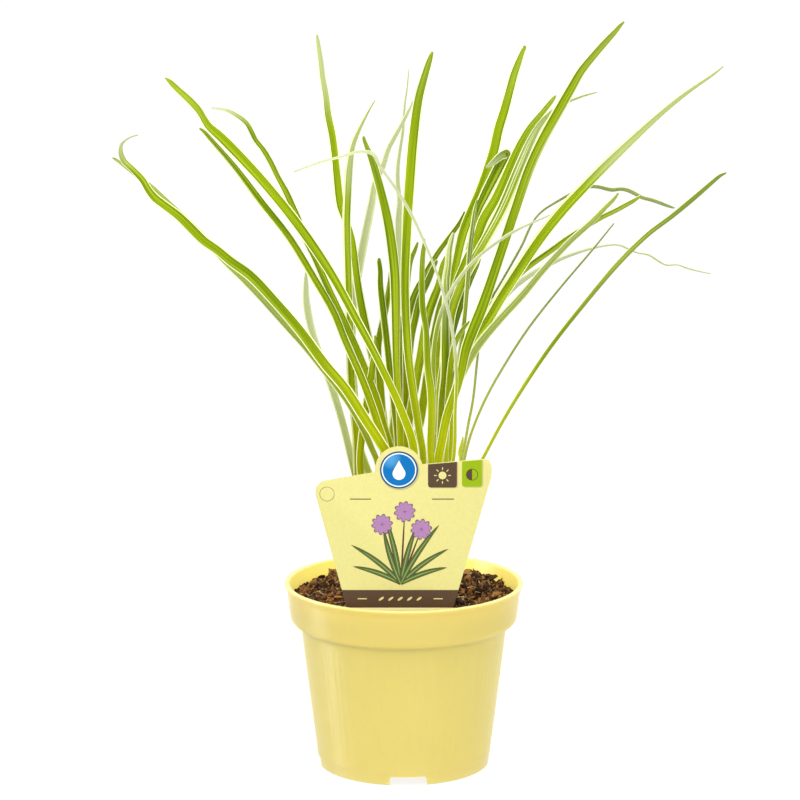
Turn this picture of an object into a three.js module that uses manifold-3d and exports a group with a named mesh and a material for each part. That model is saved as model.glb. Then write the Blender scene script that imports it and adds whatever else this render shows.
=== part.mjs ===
// Potted garlic chives: a tuft of flat striped leaves in a 120 mm nursery pot, with a stick-in card.
// Millimetres, +Z up. The origin is the middle of the pot's foot, and the card faces -Y.

import * as THREE from "three";
import { mergeVertices } from "three/addons/utils/BufferGeometryUtils.js";
import Module from "manifold-3d";

const wasm = await Module();
wasm.setup();

// Pot
const POT_HEIGHT = 93;
const LIP_RADIUS = 60;
const LIP_HEIGHT = 1.8;
const BAND_TOP_RADIUS = 58.4;
const BAND_LOW_RADIUS = 56.8;
const BAND_LOW = 75.5;
const WALL_TOP = 70.5;
const WALL_TOP_RADIUS = 51.6;
const FOOT_RADIUS = 42.8;
const POT_WALL = 1.3;
const POT_SIDES = 48;
const CHANNEL_HEIGHT = 4.4;
const CHANNEL_INNER_RADIUS = 26;
const FLOOR_THICKNESS = 1.5;
const NOTCH_WIDTH = 19;
const NOTCH_TOP_WIDTH = 17.4;
const NOTCH_COUNT = 4;
const FRONT_NOTCH_DEGREES = 3;
const DRAIN_RADIUS = 3;
const DRAIN_RING_RADIUS = 34;
const DRAIN_COUNT = 8;

// Soil
const GAP = 0.3;
const SOIL_EDGE = 85.5;
const SOIL_MOUND = 3.5;
const SOIL_LUMP = 1.1;
const SOIL_SIDES = 48;

// Card. The stake below it is given as half its width at each height.
const CARD_FRONT = -46;
const CARD_THICKNESS = 0.7;
const CARD_BADGE = { across: -2.4, up: 160.1, radius: 11.6 };
const STAKE = [[85.5, 24.5], [79, 19], [71, 10], [54, 3.2]];
const STAKE_TIP = 50;
const STAKE_MIDDLE = -2;
const SLOT_GAP = 0.5;
const SLOT_HALF = 27;

// Shoots
const HOLE_BOTTOM = 75;
const HOLE_RADIUS = 5;
const BASE_TOP = 122;
const BASE_SIDES = 8;
const BLADE_THICKNESS = 0.8;
const BLADE_CHANNEL = 0.16;
const RINGS_PER_STRETCH = 1.5;
const EYE = new THREE.Vector3(-2, -1577, 495);

const COLOURS = {
  pot: 0xe6d67e,
  soil: 0x3a2a1d,
  label: 0xf5eda6,
  leaf: 0x9bb52c,
};

function plain(colour, roughness) {
  return new THREE.MeshStandardMaterial({ color: colour, roughness, metalness: 0 });
}

// Solids

function solidOf(geometry) {
  const bare = geometry.clone();
  bare.deleteAttribute("normal");
  bare.deleteAttribute("uv");
  const merged = mergeVertices(bare, 1e-4);
  return new wasm.Manifold(new wasm.Mesh({
    numProp: 3,
    vertProperties: merged.attributes.position.array,
    triVerts: new Uint32Array(merged.index.array),
  }));
}

function geometryOf(solid) {
  const mesh = solid.getMesh();
  const geometry = new THREE.BufferGeometry();
  geometry.setAttribute("position", new THREE.BufferAttribute(mesh.vertProperties, 3));
  geometry.setIndex(new THREE.BufferAttribute(mesh.triVerts, 1));
  geometry.computeVertexNormals();
  return geometry;
}

function named(name, geometry, colour, roughness) {
  const mesh = new THREE.Mesh(geometry, plain(colour, roughness));
  mesh.name = name;
  return mesh;
}

// Rings with the same even number of points, joined into one closed body. The second half of a ring is
// split along the mirrored diagonals of the first, so that both faces of a thin blade are split alike.
function loft(rings) {
  const count = rings[0].length;
  const position = rings.flat().flatMap((point) => point.toArray());
  const index = [];
  for (let ring = 0; ring < rings.length - 1; ring += 1) {
    for (let point = 0; point < count; point += 1) {
      const here = ring * count + point;
      const beside = ring * count + ((point + 1) % count);
      const [aheadHere, aheadBeside] = [here + count, beside + count];
      if (point < count / 2) {
        index.push(here, beside, aheadBeside, here, aheadBeside, aheadHere);
      } else {
        index.push(here, beside, aheadHere, beside, aheadBeside, aheadHere);
      }
    }
  }
  const last = (rings.length - 1) * count;
  for (let point = 0; point < count / 2 - 1; point += 1) {
    const [a, b, c, d] = [point, point + 1, count - 2 - point, count - 1 - point];
    index.push(a, c, b, a, d, c);
    index.push(last + a, last + b, last + c, last + a, last + c, last + d);
  }
  const geometry = new THREE.BufferGeometry();
  geometry.setAttribute("position", new THREE.Float32BufferAttribute(position, 3));
  geometry.setIndex(index);
  return geometry;
}

// A half section [radius, up] that starts and ends on the axis, turned about the upright axis.
function turned(profile, sides) {
  const points = profile.map(([radius, up]) => new THREE.Vector2(radius, up));
  return new THREE.LatheGeometry(points, sides).rotateX(Math.PI / 2);
}

function upright(radius, low, high, sides, x, y) {
  return new THREE.CylinderGeometry(radius, radius, high - low, sides)
    .rotateX(Math.PI / 2)
    .translate(x, y, (low + high) / 2);
}

// An outline drawn [across, up] as seen from the front, `thickness` deep, with its front face at `front`.
function standing(shape, front, thickness) {
  return new THREE.ExtrudeGeometry(shape, { depth: thickness, bevelEnabled: false, curveSegments: 8 })
    .rotateX(Math.PI / 2)
    .translate(0, front + thickness, 0);
}

// Pot

function wallRadius(up) {
  return THREE.MathUtils.mapLinear(up, 0, WALL_TOP, FOOT_RADIUS, WALL_TOP_RADIUS);
}

const BAND_TOP = POT_HEIGHT - LIP_HEIGHT;
const FLOOR_TOP = CHANNEL_HEIGHT + FLOOR_THICKNESS;

function potProfile() {
  const outside = [
    [0, 0],
    [CHANNEL_INNER_RADIUS - 2, 0],
    [CHANNEL_INNER_RADIUS, CHANNEL_HEIGHT],
    [wallRadius(CHANNEL_HEIGHT) - POT_WALL, CHANNEL_HEIGHT],
    [FOOT_RADIUS - POT_WALL, 0],
    [FOOT_RADIUS - 0.3, 0],
    [wallRadius(0.6), 0.6],
    [WALL_TOP_RADIUS, WALL_TOP],
    [WALL_TOP_RADIUS + 1, WALL_TOP + 1.6],
    [BAND_LOW_RADIUS - 1.3, BAND_LOW - 2.2],
    [BAND_LOW_RADIUS, BAND_LOW],
    [BAND_TOP_RADIUS, BAND_TOP],
    [LIP_RADIUS - 0.5, BAND_TOP],
    [LIP_RADIUS, BAND_TOP + 0.5],
    [LIP_RADIUS, POT_HEIGHT - 0.6],
    [LIP_RADIUS - 0.6, POT_HEIGHT],
  ];
  const inside = [
    [BAND_TOP_RADIUS - 0.2, POT_HEIGHT],
    [BAND_TOP_RADIUS - POT_WALL, BAND_TOP - 0.5],
    [BAND_LOW_RADIUS - POT_WALL, BAND_LOW + 0.6],
    [WALL_TOP_RADIUS - POT_WALL + 0.3, WALL_TOP + 1],
    [wallRadius(FLOOR_TOP + 1.5) - POT_WALL, FLOOR_TOP + 1.5],
    [wallRadius(FLOOR_TOP) - POT_WALL - 1.2, FLOOR_TOP],
    [CHANNEL_INNER_RADIUS + 0.6, FLOOR_TOP],
    [CHANNEL_INNER_RADIUS - 1.4, FLOOR_THICKNESS],
    [0, FLOOR_THICKNESS],
  ];
  return [...outside, ...inside];
}

// A notch through the foot, a little narrower at its top.
function notch(degrees) {
  const shape = new THREE.Shape([
    new THREE.Vector2(-NOTCH_WIDTH / 2, -1),
    new THREE.Vector2(NOTCH_WIDTH / 2, -1),
    new THREE.Vector2(NOTCH_TOP_WIDTH / 2, CHANNEL_HEIGHT),
    new THREE.Vector2(-NOTCH_TOP_WIDTH / 2, CHANNEL_HEIGHT),
  ]);
  return standing(shape, -FOOT_RADIUS - 2, 8).rotateZ(THREE.MathUtils.degToRad(degrees));
}

function drain(index) {
  const angle = ((index + 0.5) * 2 * Math.PI) / DRAIN_COUNT;
  const [x, y] = [DRAIN_RING_RADIUS * Math.cos(angle), DRAIN_RING_RADIUS * Math.sin(angle)];
  return upright(DRAIN_RADIUS, CHANNEL_HEIGHT - 1, FLOOR_TOP + 1, 10, x, y);
}

function pot() {
  let solid = solidOf(turned(potProfile(), POT_SIDES));
  for (let index = 0; index < NOTCH_COUNT; index += 1) {
    solid = solid.subtract(solidOf(notch(FRONT_NOTCH_DEGREES + (360 * index) / NOTCH_COUNT)));
  }
  for (let index = 0; index < DRAIN_COUNT; index += 1) {
    solid = solid.subtract(solidOf(drain(index)));
  }
  return named("pot", geometryOf(solid), COLOURS.pot, 0.42);
}

// Card

// The stake's outline from its left edge down to the tip and up its right edge, made wider by a gap.
function stakePoints(gap) {
  const left = STAKE.map(([up, half]) => [STAKE_MIDDLE - half - gap, up]);
  const right = STAKE.map(([up, half]) => [STAKE_MIDDLE + half + gap, up]).reverse();
  const tip = [STAKE_MIDDLE, STAKE_TIP - gap];
  return [...left, tip, ...right].map(([x, z]) => new THREE.Vector2(x, z));
}

function cardShape() {
  const { across, up, radius } = CARD_BADGE;
  const shape = new THREE.Shape();
  shape.moveTo(23.9, 91);
  shape.lineTo(42, 156);
  shape.quadraticCurveTo(44, 166.5, 37, 165.4);
  shape.lineTo(across + radius * 0.97, up + radius * 0.24);
  shape.absarc(across, up, radius, 0.25, Math.PI + 0.1, false);
  shape.lineTo(-37, 155);
  shape.quadraticCurveTo(-44, 154, -42.5, 147);
  shape.lineTo(-27.7, 91);
  for (const { x, y } of stakePoints(0)) shape.lineTo(x, y);
  shape.closePath();
  return shape;
}

function label() {
  const geometry = standing(cardShape(), CARD_FRONT, CARD_THICKNESS);
  return named("label", geometryOf(solidOf(geometry)), COLOURS.label, 0.5);
}

// Leafy shoots

// A point seen at [across, up] on the upright plane through the pot's axis, `back` mm behind that plane.
function seen([across, up, back]) {
  const onPlane = new THREE.Vector3(across, 0, up);
  const sight = onPlane.clone().sub(EYE);
  return onPlane.addScaledVector(sight, -back / EYE.y);
}

// Where a shoot stands in the soil [x, y], and its leaves. A leaf has its width, how far it is turned
// away from the front in degrees at its root and at its tip, and its route from root to tip.
const SHOOTS = {
  shoot_front_left: {
    foot: [-3, -23],
    leaves: [
      { width: 5.6, turn: [55, 20], route: [[5, 158, -24], [-1, 180, -27], [-8, 201, -30], [-22, 225, -34],
        [-51, 271, -40], [-80, 306, -44], [-97, 324, -45], [-103, 334, -45], [-116, 345, -44]] },
      { width: 5.2, turn: [25, 35], route: [[-8, 158, -26], [-23, 184, -33], [-36, 202, -39], [-70, 242, -53],
        [-101, 268, -65], [-118, 283, -71], [-131, 298, -75], [-138, 308, -77], [-137, 314, -77], [-130, 317, -76]] },
    ],
  },
  shoot_front_right: {
    foot: [12, -19],
    leaves: [
      { width: 4.4, turn: [50, 10], route: [[12, 155, -24], [14, 180, -30], [12, 203, -36], [11, 226, -43],
        [9, 246, -50], [10, 265, -57]] },
      { width: 5.6, turn: [50, 15], route: [[18, 154, -21], [25, 185, -24], [31, 216, -28], [51, 268, -35],
        [68, 315, -43], [82, 341, -49], [95, 360, -55], [106, 372, -61]] },
      { width: 2.2, turn: [20, 20], route: [[24, 156, -22], [26, 185, -30], [25, 220, -42], [18, 246, -52],
        [0, 284, -62], [-9, 299, -66], [-14, 307, -67], [-20, 310, -68], [-38, 305, -71], [-54, 299, -75]] },
      { width: 2.4, turn: [30, 40], route: [[15, 160, -19], [16, 190, -20], [17, 218, -28], [21, 236, -35],
        [33, 254, -42], [50, 266, -47], [73, 278, -54]] },
    ],
  },
  shoot_left: {
    foot: [-12, -12],
    leaves: [
      { width: 4.2, turn: [55, 40], route: [[-10, 156, -13], [-19, 188, -17], [-31, 222, -21], [-56, 263, -26],
        [-80, 299, -30], [-99, 321, -33]] },
      { width: 3.8, turn: [55, 45], route: [[-17, 158, -13], [-27, 183, -18], [-45, 209, -22], [-81, 249, -33],
        [-102, 273, -41], [-126, 293, -50], [-136, 300, -54], [-142, 307, -57]] },
    ],
  },
  shoot_middle: {
    foot: [0, -12],
    leaves: [
      { width: 4.8, turn: [40, 15], route: [[0, 158, -13], [-2, 185, -14], [-3, 220, -17], [-5, 260, -21],
        [-12, 294, -25], [-19, 317, -28]] },
      { width: 4.8, turn: [30, 25], route: [[9, 156, -12], [5, 195, -13], [1, 241, -12], [2, 285, -11],
        [5, 323, -9], [14, 357, -6]] },
      { width: 4.2, turn: [50, 35], route: [[-2, 156, -10], [-7, 195, -9], [-11, 231, -12], [-12, 257, -16]] },
    ],
  },
  shoot_right: {
    foot: [19, -10],
    leaves: [
      { width: 3.4, turn: [55, 60], route: [[38, 155, -20], [55, 184, -31], [87, 232, -50], [125, 272, -70],
        [157, 298, -84]] },
      { width: 4.2, turn: [50, 55], route: [[17, 155, -12], [23, 186, -15], [37, 210, -17], [62, 241, -21],
        [91, 273, -26], [105, 289, -29]] },
      { width: 2, turn: [40, 60], route: [[29, 155, -13], [40, 186, -19], [61, 220, -27], [89, 256, -38],
        [103, 273, -44]] },
      { width: 2.6, turn: [40, 30], route: [[21, 158, -9], [22, 190, -9], [26, 213, -10], [32, 225, -12]] },
    ],
  },
  shoot_outer_left: {
    foot: [-17, -2],
    leaves: [
      { width: 4.8, turn: [40, 30], route: [[-25, 152, -1], [-34, 186, 8], [-43, 215, 18], [-48, 235, 27],
        [-48, 249, 35]] },
      { width: 4.6, turn: [45, 30], route: [[-23, 155, -4], [-26, 196, -5], [-28, 245, -3], [-27, 285, 1],
        [-23, 318, 6], [-14, 334, 10]] },
      { width: 4.2, turn: [40, 30], route: [[-20, 155, -6], [-15, 188, -6], [-13, 206, -5], [-12, 222, -3]] },
      { width: 4.2, turn: [60, 45], route: [[-9, 158, -4], [-16, 192, -6], [-36, 242, -11], [-52, 277, -15],
        [-65, 304, -17], [-76, 322, -19], [-85, 330, -19], [-93, 330, -19]] },
    ],
  },
  shoot_inner: {
    foot: [2, 0],
    leaves: [
      { width: 3.6, turn: [45, 30], route: [[-1, 158, -3], [1, 185, 1], [2, 205, 8], [2, 216, 14]] },
      { width: 3.6, turn: [45, 35], route: [[3, 160, 0], [2, 205, 3], [2, 253, 10], [7, 266, 14]] },
      { width: 4, turn: [50, 40], route: [[5, 158, 1], [4, 200, 5], [8, 236, 12], [21, 258, 20]] },
      { width: 5, turn: [45, 15], route: [[0, 156, -1], [2, 190, 0], [8, 215, 2], [14, 232, 3], [21, 257, 4]] },
    ],
  },
  shoot_inner_right: {
    foot: [13, -1],
    leaves: [
      { width: 6, turn: [60, 15], route: [[14, 155, -3], [21, 190, -3], [30, 213, -1], [55, 248, 4],
        [84, 285, 12], [117, 320, 24], [155, 350, 40]] },
      { width: 5.8, turn: [45, 20], route: [[13, 158, -4], [21, 190, -5], [24, 222, -6], [41, 268, -10],
        [57, 300, -14], [72, 329, -18], [93, 338, -21]] },
      { width: 3.8, turn: [45, 30], route: [[18, 165, -5], [20, 206, -7], [21, 248, -12], [24, 269, -16]] },
      { width: 2.6, turn: [40, 30], route: [[23, 158, -5], [26, 196, -7], [31, 236, -9], [36, 285, -12]] },
    ],
  },
  shoot_rear_left: {
    foot: [-8, 7],
    leaves: [
      { width: 4.4, turn: [50, 25], route: [[-10, 160, 8], [-13, 196, 11], [-22, 245, 20], [-30, 285, 30],
        [-37, 334, 45], [-42, 366, 56]] },
      { width: 4.4, turn: [45, 35], route: [[-14, 160, 11], [-24, 205, 21], [-22, 255, 37], [-12, 298, 53],
        [4, 334, 68]] },
      { width: 4.2, turn: [50, 30], route: [[-11, 160, 5], [-10, 190, 5], [-7, 223, 8], [-7, 250, 11]] },
    ],
  },
  shoot_rear_right: {
    foot: [16, 9],
    leaves: [
      { width: 3, turn: [50, 55], route: [[28, 155, 8], [37, 203, 12], [47, 245, 18], [62, 268, 22],
        [80, 287, 27], [92, 292, 30], [108, 291, 34], [133, 281, 40]] },
      { width: 3.4, turn: [55, 50], route: [[23, 158, 10], [35, 205, 17], [57, 244, 27], [84, 259, 36],
        [105, 263, 43], [128, 254, 51], [150, 249, 58]] },
      { width: 4, turn: [55, 50], route: [[19, 158, 6], [31, 200, 9], [47, 236, 13], [77, 264, 18],
        [116, 288, 26]] },
      { width: 4.6, turn: [50, 20], route: [[16, 160, 8], [25, 200, 13], [35, 261, 22], [50, 297, 31],
        [74, 337, 44]] },
      { width: 3.8, turn: [45, 45], route: [[18, 165, 4], [23, 205, 4], [29, 234, 4], [38, 257, 3]] },
    ],
  },
  shoot_back_left: {
    foot: [-5, 18],
    leaves: [
      { width: 3.6, turn: [45, 45], route: [[-6, 158, 26], [-4, 200, 42], [-3, 260, 66], [-1, 315, 92],
        [2, 349, 110]] },
      { width: 4.4, turn: [45, 40], route: [[-10, 158, 21], [-9, 186, 26], [-1, 223, 36], [14, 256, 48],
        [30, 279, 60]] },
      { width: 5, turn: [30, 30], route: [[-16, 150, 28], [-24, 168, 44], [-28, 182, 66], [-27, 186, 88]] },
      { width: 4.6, turn: [20, 35], route: [[-3, 148, 30], [-1, 168, 48], [2, 184, 74], [6, 190, 104]] },
    ],
  },
  shoot_back_right: {
    foot: [8, 20],
    leaves: [
      { width: 5, turn: [45, 15], route: [[14, 160, 22], [16, 205, 33], [28, 258, 50], [40, 295, 64],
        [51, 334, 79], [58, 360, 91]] },
      { width: 5.6, turn: [50, 25], route: [[17, 158, 19], [21, 205, 27], [34, 260, 38], [46, 298, 46],
        [50, 307, 47], [48, 307, 44], [41, 301, 40]] },
      { width: 4.8, turn: [40, 20], route: [[5, 158, 20], [6, 193, 26], [11, 213, 32], [17, 231, 40]] },
      { width: 4.8, turn: [25, 30], route: [[20, 150, 28], [26, 172, 44], [31, 186, 70], [34, 188, 96]] },
    ],
  },
};

// The pale base of a shoot: an upright bulb in its hole that narrows to the leaves.
const BASE_PROFILE = [[HOLE_BOTTOM + GAP, 3], [79, 4.3], [88, 4.2], [100, 3.7], [114, 3.3], [BASE_TOP, 2.4]];
function base([x, y]) {
  const rings = BASE_PROFILE.map(([up, radius]) => {
    const ring = [];
    for (let side = 0; side < BASE_SIDES; side += 1) {
      const angle = (side * 2 * Math.PI) / BASE_SIDES;
      ring.push(new THREE.Vector3(x + radius * Math.cos(angle), y + radius * Math.sin(angle), up));
    }
    return ring;
  });
  return loft(rings);
}

// Full width over the middle, two thirds at the root and a blunt point at the tip.
function bladeWidth(along) {
  const root = THREE.MathUtils.lerp(0.62, 1, THREE.MathUtils.smoothstep(along, 0, 0.45));
  const tip = Math.max(0.16, (1 - along ** 6) ** 0.8);
  return root * tip;
}

// A leaf starts inside its base, leaves it on the side that it leans to, and follows its route.
function leafCurve([x, y], route) {
  const points = route.map(seen);
  const lean = new THREE.Vector3(points[0].x - x, points[0].y - y, 0).clampLength(0, 2);
  const root = new THREE.Vector3(x, y, BASE_TOP - 14);
  const collar = new THREE.Vector3(x, y, BASE_TOP + 1).add(lean);
  return new THREE.CatmullRomCurve3([root, collar, ...points], false, "centripetal");
}

function blade(foot, leaf) {
  const curve = leafCurve(foot, leaf.route);
  const steps = Math.round(RINGS_PER_STRETCH * (curve.points.length - 1));
  const lengths = curve.getLengths(200);
  const total = lengths[lengths.length - 1];
  const rings = [];
  for (let step = 0; step <= steps; step += 1) {
    const t = step / steps;
    const middle = curve.getPoint(t);
    const along = lengths[Math.round(200 * t)] / total;
    const forward = curve.getTangent(t);
    const turn = THREE.MathUtils.degToRad(THREE.MathUtils.lerp(...leaf.turn, along));
    const across = new THREE.Vector3().subVectors(middle, EYE).cross(forward).normalize();
    across.applyAxisAngle(forward, turn);
    const face = new THREE.Vector3().crossVectors(across, forward).normalize();
    const half = (leaf.width * bladeWidth(along)) / 2;
    const rise = BLADE_CHANNEL * half;
    const at = (side, up) => middle.clone().addScaledVector(across, side).addScaledVector(face, up);
    rings.push([
      at(-half, rise),
      at(0, 0),
      at(half, rise),
      at(half, rise - BLADE_THICKNESS),
      at(0, -BLADE_THICKNESS),
      at(-half, rise - BLADE_THICKNESS),
    ]);
  }
  return loft(rings);
}

function shoot(name, { foot, leaves }) {
  let solid = solidOf(base(foot));
  for (const leaf of leaves) solid = solid.add(solidOf(blade(foot, leaf)));
  return named(name, geometryOf(solid), COLOURS.leaf, 0.55);
}

// Soil

// The surface is a low mound with lumps, worked out by a formula from the place on it.
function soilTop(x, y) {
  const reach = Math.min(1, Math.hypot(x, y) / 50);
  const mound = SOIL_MOUND * (1 - reach * reach);
  const lumps = Math.sin(x * 0.41 + 1.3) * Math.cos(y * 0.37) + 0.6 * Math.sin(x * 0.83 + y * 0.71 + 0.4);
  return SOIL_EDGE + mound + (SOIL_LUMP * lumps) / 1.6;
}

function soilBody() {
  const side = [
    [CHANNEL_INNER_RADIUS - 1.8, FLOOR_THICKNESS + GAP],
    [CHANNEL_INNER_RADIUS, FLOOR_TOP + GAP],
    [wallRadius(FLOOR_TOP) - POT_WALL - 1.6, FLOOR_TOP + GAP],
    [wallRadius(FLOOR_TOP + 2) - POT_WALL - GAP, FLOOR_TOP + 2],
    [WALL_TOP_RADIUS - POT_WALL - GAP - 0.1, WALL_TOP + 1.8],
    [BAND_LOW_RADIUS - POT_WALL - GAP - 0.4, BAND_LOW + 2.2],
  ];
  const top = [56, 50, 44, 38, 31, 24, 16, 8];
  const ringAt = (radius, heightAt) => {
    const ring = [];
    for (let step = 0; step < SOIL_SIDES; step += 1) {
      const angle = (step * 2 * Math.PI) / SOIL_SIDES;
      const [x, y] = [radius * Math.cos(angle), radius * Math.sin(angle)];
      ring.push(new THREE.Vector3(x, y, heightAt(x, y)));
    }
    return ring;
  };
  const rings = [
    ...side.map(([radius, up]) => ringAt(radius, () => up)),
    ...top.map((radius) => ringAt(radius, soilTop)),
  ];
  return loft(rings);
}

function soil() {
  let solid = solidOf(soilBody());
  for (const { foot: [x, y] } of Object.values(SHOOTS)) {
    solid = solid.subtract(solidOf(upright(HOLE_RADIUS, HOLE_BOTTOM, POT_HEIGHT, 10, x, y)));
  }
  const slot = new THREE.Shape([
    ...stakePoints(SLOT_GAP),
    new THREE.Vector2(STAKE_MIDDLE + SLOT_HALF, POT_HEIGHT),
    new THREE.Vector2(STAKE_MIDDLE - SLOT_HALF, POT_HEIGHT),
  ]);
  solid = solid.subtract(solidOf(standing(slot, CARD_FRONT - GAP, CARD_THICKNESS + 2 * GAP)));
  return named("soil", geometryOf(solid), COLOURS.soil, 0.95);
}

const plant = new THREE.Group();
plant.add(pot(), soil(), label());
for (const [name, design] of Object.entries(SHOOTS)) plant.add(shoot(name, design));

export default plant;
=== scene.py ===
"""Dresses a pot of garlic chives: striped strap leaves, a moulded pot, fibrous soil and a printed card."""

import math
import random

import bpy
from bpy.props import FloatProperty, FloatVectorProperty, IntProperty, PointerProperty
from mathutils import Matrix, Vector, noise


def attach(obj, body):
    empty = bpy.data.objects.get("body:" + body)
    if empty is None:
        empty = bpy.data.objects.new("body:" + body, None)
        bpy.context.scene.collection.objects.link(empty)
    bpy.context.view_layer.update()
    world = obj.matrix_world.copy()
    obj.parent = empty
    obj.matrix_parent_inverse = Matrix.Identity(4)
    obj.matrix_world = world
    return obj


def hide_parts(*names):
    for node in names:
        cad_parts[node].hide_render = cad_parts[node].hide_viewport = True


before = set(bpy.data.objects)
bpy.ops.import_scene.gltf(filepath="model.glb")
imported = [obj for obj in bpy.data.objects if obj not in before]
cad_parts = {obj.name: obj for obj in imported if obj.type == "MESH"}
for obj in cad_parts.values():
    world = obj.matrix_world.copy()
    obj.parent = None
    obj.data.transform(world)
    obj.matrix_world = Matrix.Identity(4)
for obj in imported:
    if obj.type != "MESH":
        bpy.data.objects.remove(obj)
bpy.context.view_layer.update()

bl_info = {
    "name": "Potted garlic chives",
    "version": (1, 0, 0),
    "blender": (4, 5, 0),
    "location": "3D View > Sidebar > Garlic chives",
    "description": "Models the leaves, pot, soil and card around a packed frame",
    "category": "Object",
}

# Lengths below are in millimetres, and MM turns them into the scene's metres.
MM = 0.001
BODY = "root"
UP = Vector((0, 0, 1))

# Pot, as in the frame's solids
POT_HEIGHT = 93
LIP_RADIUS = 60
LIP_HEIGHT = 1.8
LIP_EDGE = 0.3
BAND_TOP_RADIUS = 58.4
BAND_LOW_RADIUS = 56.8
BAND_LOW = 75.5
WALL_TOP = 70.5
WALL_TOP_RADIUS = 51.6
FOOT_RADIUS = 42.8
POT_WALL = 1.3
CHANNEL_HEIGHT = 4.4
CHANNEL_INNER_RADIUS = 26
FLOOR_THICKNESS = 1.5
FLOOR_TOP = CHANNEL_HEIGHT + FLOOR_THICKNESS
BAND_TOP = POT_HEIGHT - LIP_HEIGHT
BAND_LEAN = (BAND_TOP_RADIUS - BAND_LOW_RADIUS) / (BAND_TOP - BAND_LOW)
NOTCH_WIDTH = 18.2
NOTCH_COUNT = 4
FRONT_NOTCH_DEGREES = 3
DRAIN_RADIUS = 3
DRAIN_RING_RADIUS = 34
DRAIN_COUNT = 8
FLUTE_START = (12, 19)
FLUTE_END = (62, 68)

# Soil
SOIL_EDGE = 85.5
SOIL_MOUND = 3.5
SOIL_LUMP = 1.1
SOIL_RADIUS = 56
SOIL_RINGS = 62
CRUMB_REACH = 54.6
CLOD_CRUMBS = 26
CHIP = (-37, -21)

# Card
CARD_FRONT = -46
CARD_THICKNESS = 0.7
BADGE = Vector((-2.4, 160.1))
BADGE_RIM = 11.6
BADGE_DISC = 9.2
BADGE_RING = 8.4
STAKE = ((85.5, 24.5), (79, 19), (71, 10), (54, 3.2))
STAKE_TIP = 50
STAKE_MIDDLE = -2
INK_FILM = 0.012
PETALS = 10

# Leaves. EYE is where their routes are seen from. A leaf's sheath is given as (height, radius); it opens
# from SPLIT_HEIGHT on, and each later leaf of a shoot opens a step higher and stands a step further in.
EYE = Vector((-2, -1577, 495))
ROOT_HEIGHT = 77
SHEATH = ((ROOT_HEIGHT, 3.4), (88, 3.7), (104, 3.0))
SHEATH_GIRTH = 2.35
SPLIT_HEIGHT = 103
SPLIT_STEP = 6
NEST_STEP = 0.1
COLLAR_HEIGHT = 123
CAD_ROOT_HEIGHT = 108

# How sharply a leaf is folded along its middle, how round that fold is and how far the leaf is set back
ROOT_FOLD = 0.42
TIP_FOLD = 0.14
KEEL_RADIUS = 0.35
SET_BACK = 0.3

# The mesh of a leaf: its columns, and its rows' spacing by length and by bend
LEAF_COLUMNS = 6
ROW_LENGTH = 3
TIP_ROW_LENGTH = 0.8
ROW_BEND = math.radians(16)

# Stage, with the camera worked out from the pot's outline in the photograph
TARGET = Vector((-1.91, 0, 185.5))
FRAME_PIXELS = 800
FOCAL_PIXELS = 3246
SENSOR = 36
FLOOR_RADIUS = 30


def srgb(red, green, blue):
    """A colour given as it looks on a screen, 0 to 255, as the linear colour that shaders use."""
    def linear(level):
        share = level / 255
        return share / 12.92 if share <= 0.04045 else ((share + 0.055) / 1.055) ** 2.4
    return (linear(red), linear(green), linear(blue))


def scaled(colour, factor):
    return tuple(min(1, channel * factor) for channel in colour)


def lerp(a, b, share):
    return a + (b - a) * share


def smoothstep(value, low, high):
    share = min(1, max(0, (value - low) / (high - low)))
    return share * share * (3 - 2 * share)


def polar(radius, degrees, up=0):
    angle = math.radians(degrees)
    return Vector((radius * math.cos(angle), radius * math.sin(angle), up))


# Settings

class PotSettings(bpy.types.PropertyGroup):
    flutes: IntProperty(name="Flutes", description="Fine upright ribs round the wall", default=86, min=0)
    flute_depth: FloatProperty(
        name="Flute depth", description="How far a rib stands out", default=0.09 * MM, unit="LENGTH")
    colour: FloatVectorProperty(
        name="Plastic", description="Colour of the plastic", subtype="COLOR", default=srgb(217, 195, 103))
    # Painted light: the inner face of the band gets a lighter colour, in place of light soaking through the
    # thin plastic.
    inside_painted_light_colour: FloatVectorProperty(
        name="Inside", description="Colour inside the band, where light soaks through it", subtype="COLOR",
        default=srgb(250, 228, 146))
    # Painted light: a faint glow on the band's inner face, as if it were lit through the wall.
    inside_painted_glow_colour: FloatVectorProperty(
        name="Soaked light", description="Colour of the light that soaks through the band", subtype="COLOR",
        default=srgb(255, 214, 110))
    # Painted highlight: the lip's thin top edge gets a lighter colour, as if it caught the light.
    lip_highlight_colour: FloatVectorProperty(
        name="Lip", description="Colour of the lip's thin edge", subtype="COLOR", default=srgb(232, 218, 144))
    # Painted shade: the foot's lowest few millimetres get a darker, duller colour that takes back the glowing
    # floor's light.
    foot_shade_colour: FloatVectorProperty(
        name="Foot", description="Colour of the foot's edge", subtype="COLOR", default=srgb(205, 189, 112))


class SoilSettings(bpy.types.PropertyGroup):
    crumbs: IntProperty(name="Crumbs", description="Loose crumbs on the surface", default=5600, min=0)
    fibres: IntProperty(name="Fibres", description="Loose straws and roots", default=170, min=0)
    seed: IntProperty(name="Seed", description="Starts the random draws", default=7)
    colour: FloatVectorProperty(
        name="Peat", description="Colour of the fine soil", subtype="COLOR", default=srgb(70, 44, 24))
    speck: FloatVectorProperty(
        name="Speck", description="Colour of the specks in it", subtype="COLOR", default=srgb(134, 98, 66))


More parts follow.
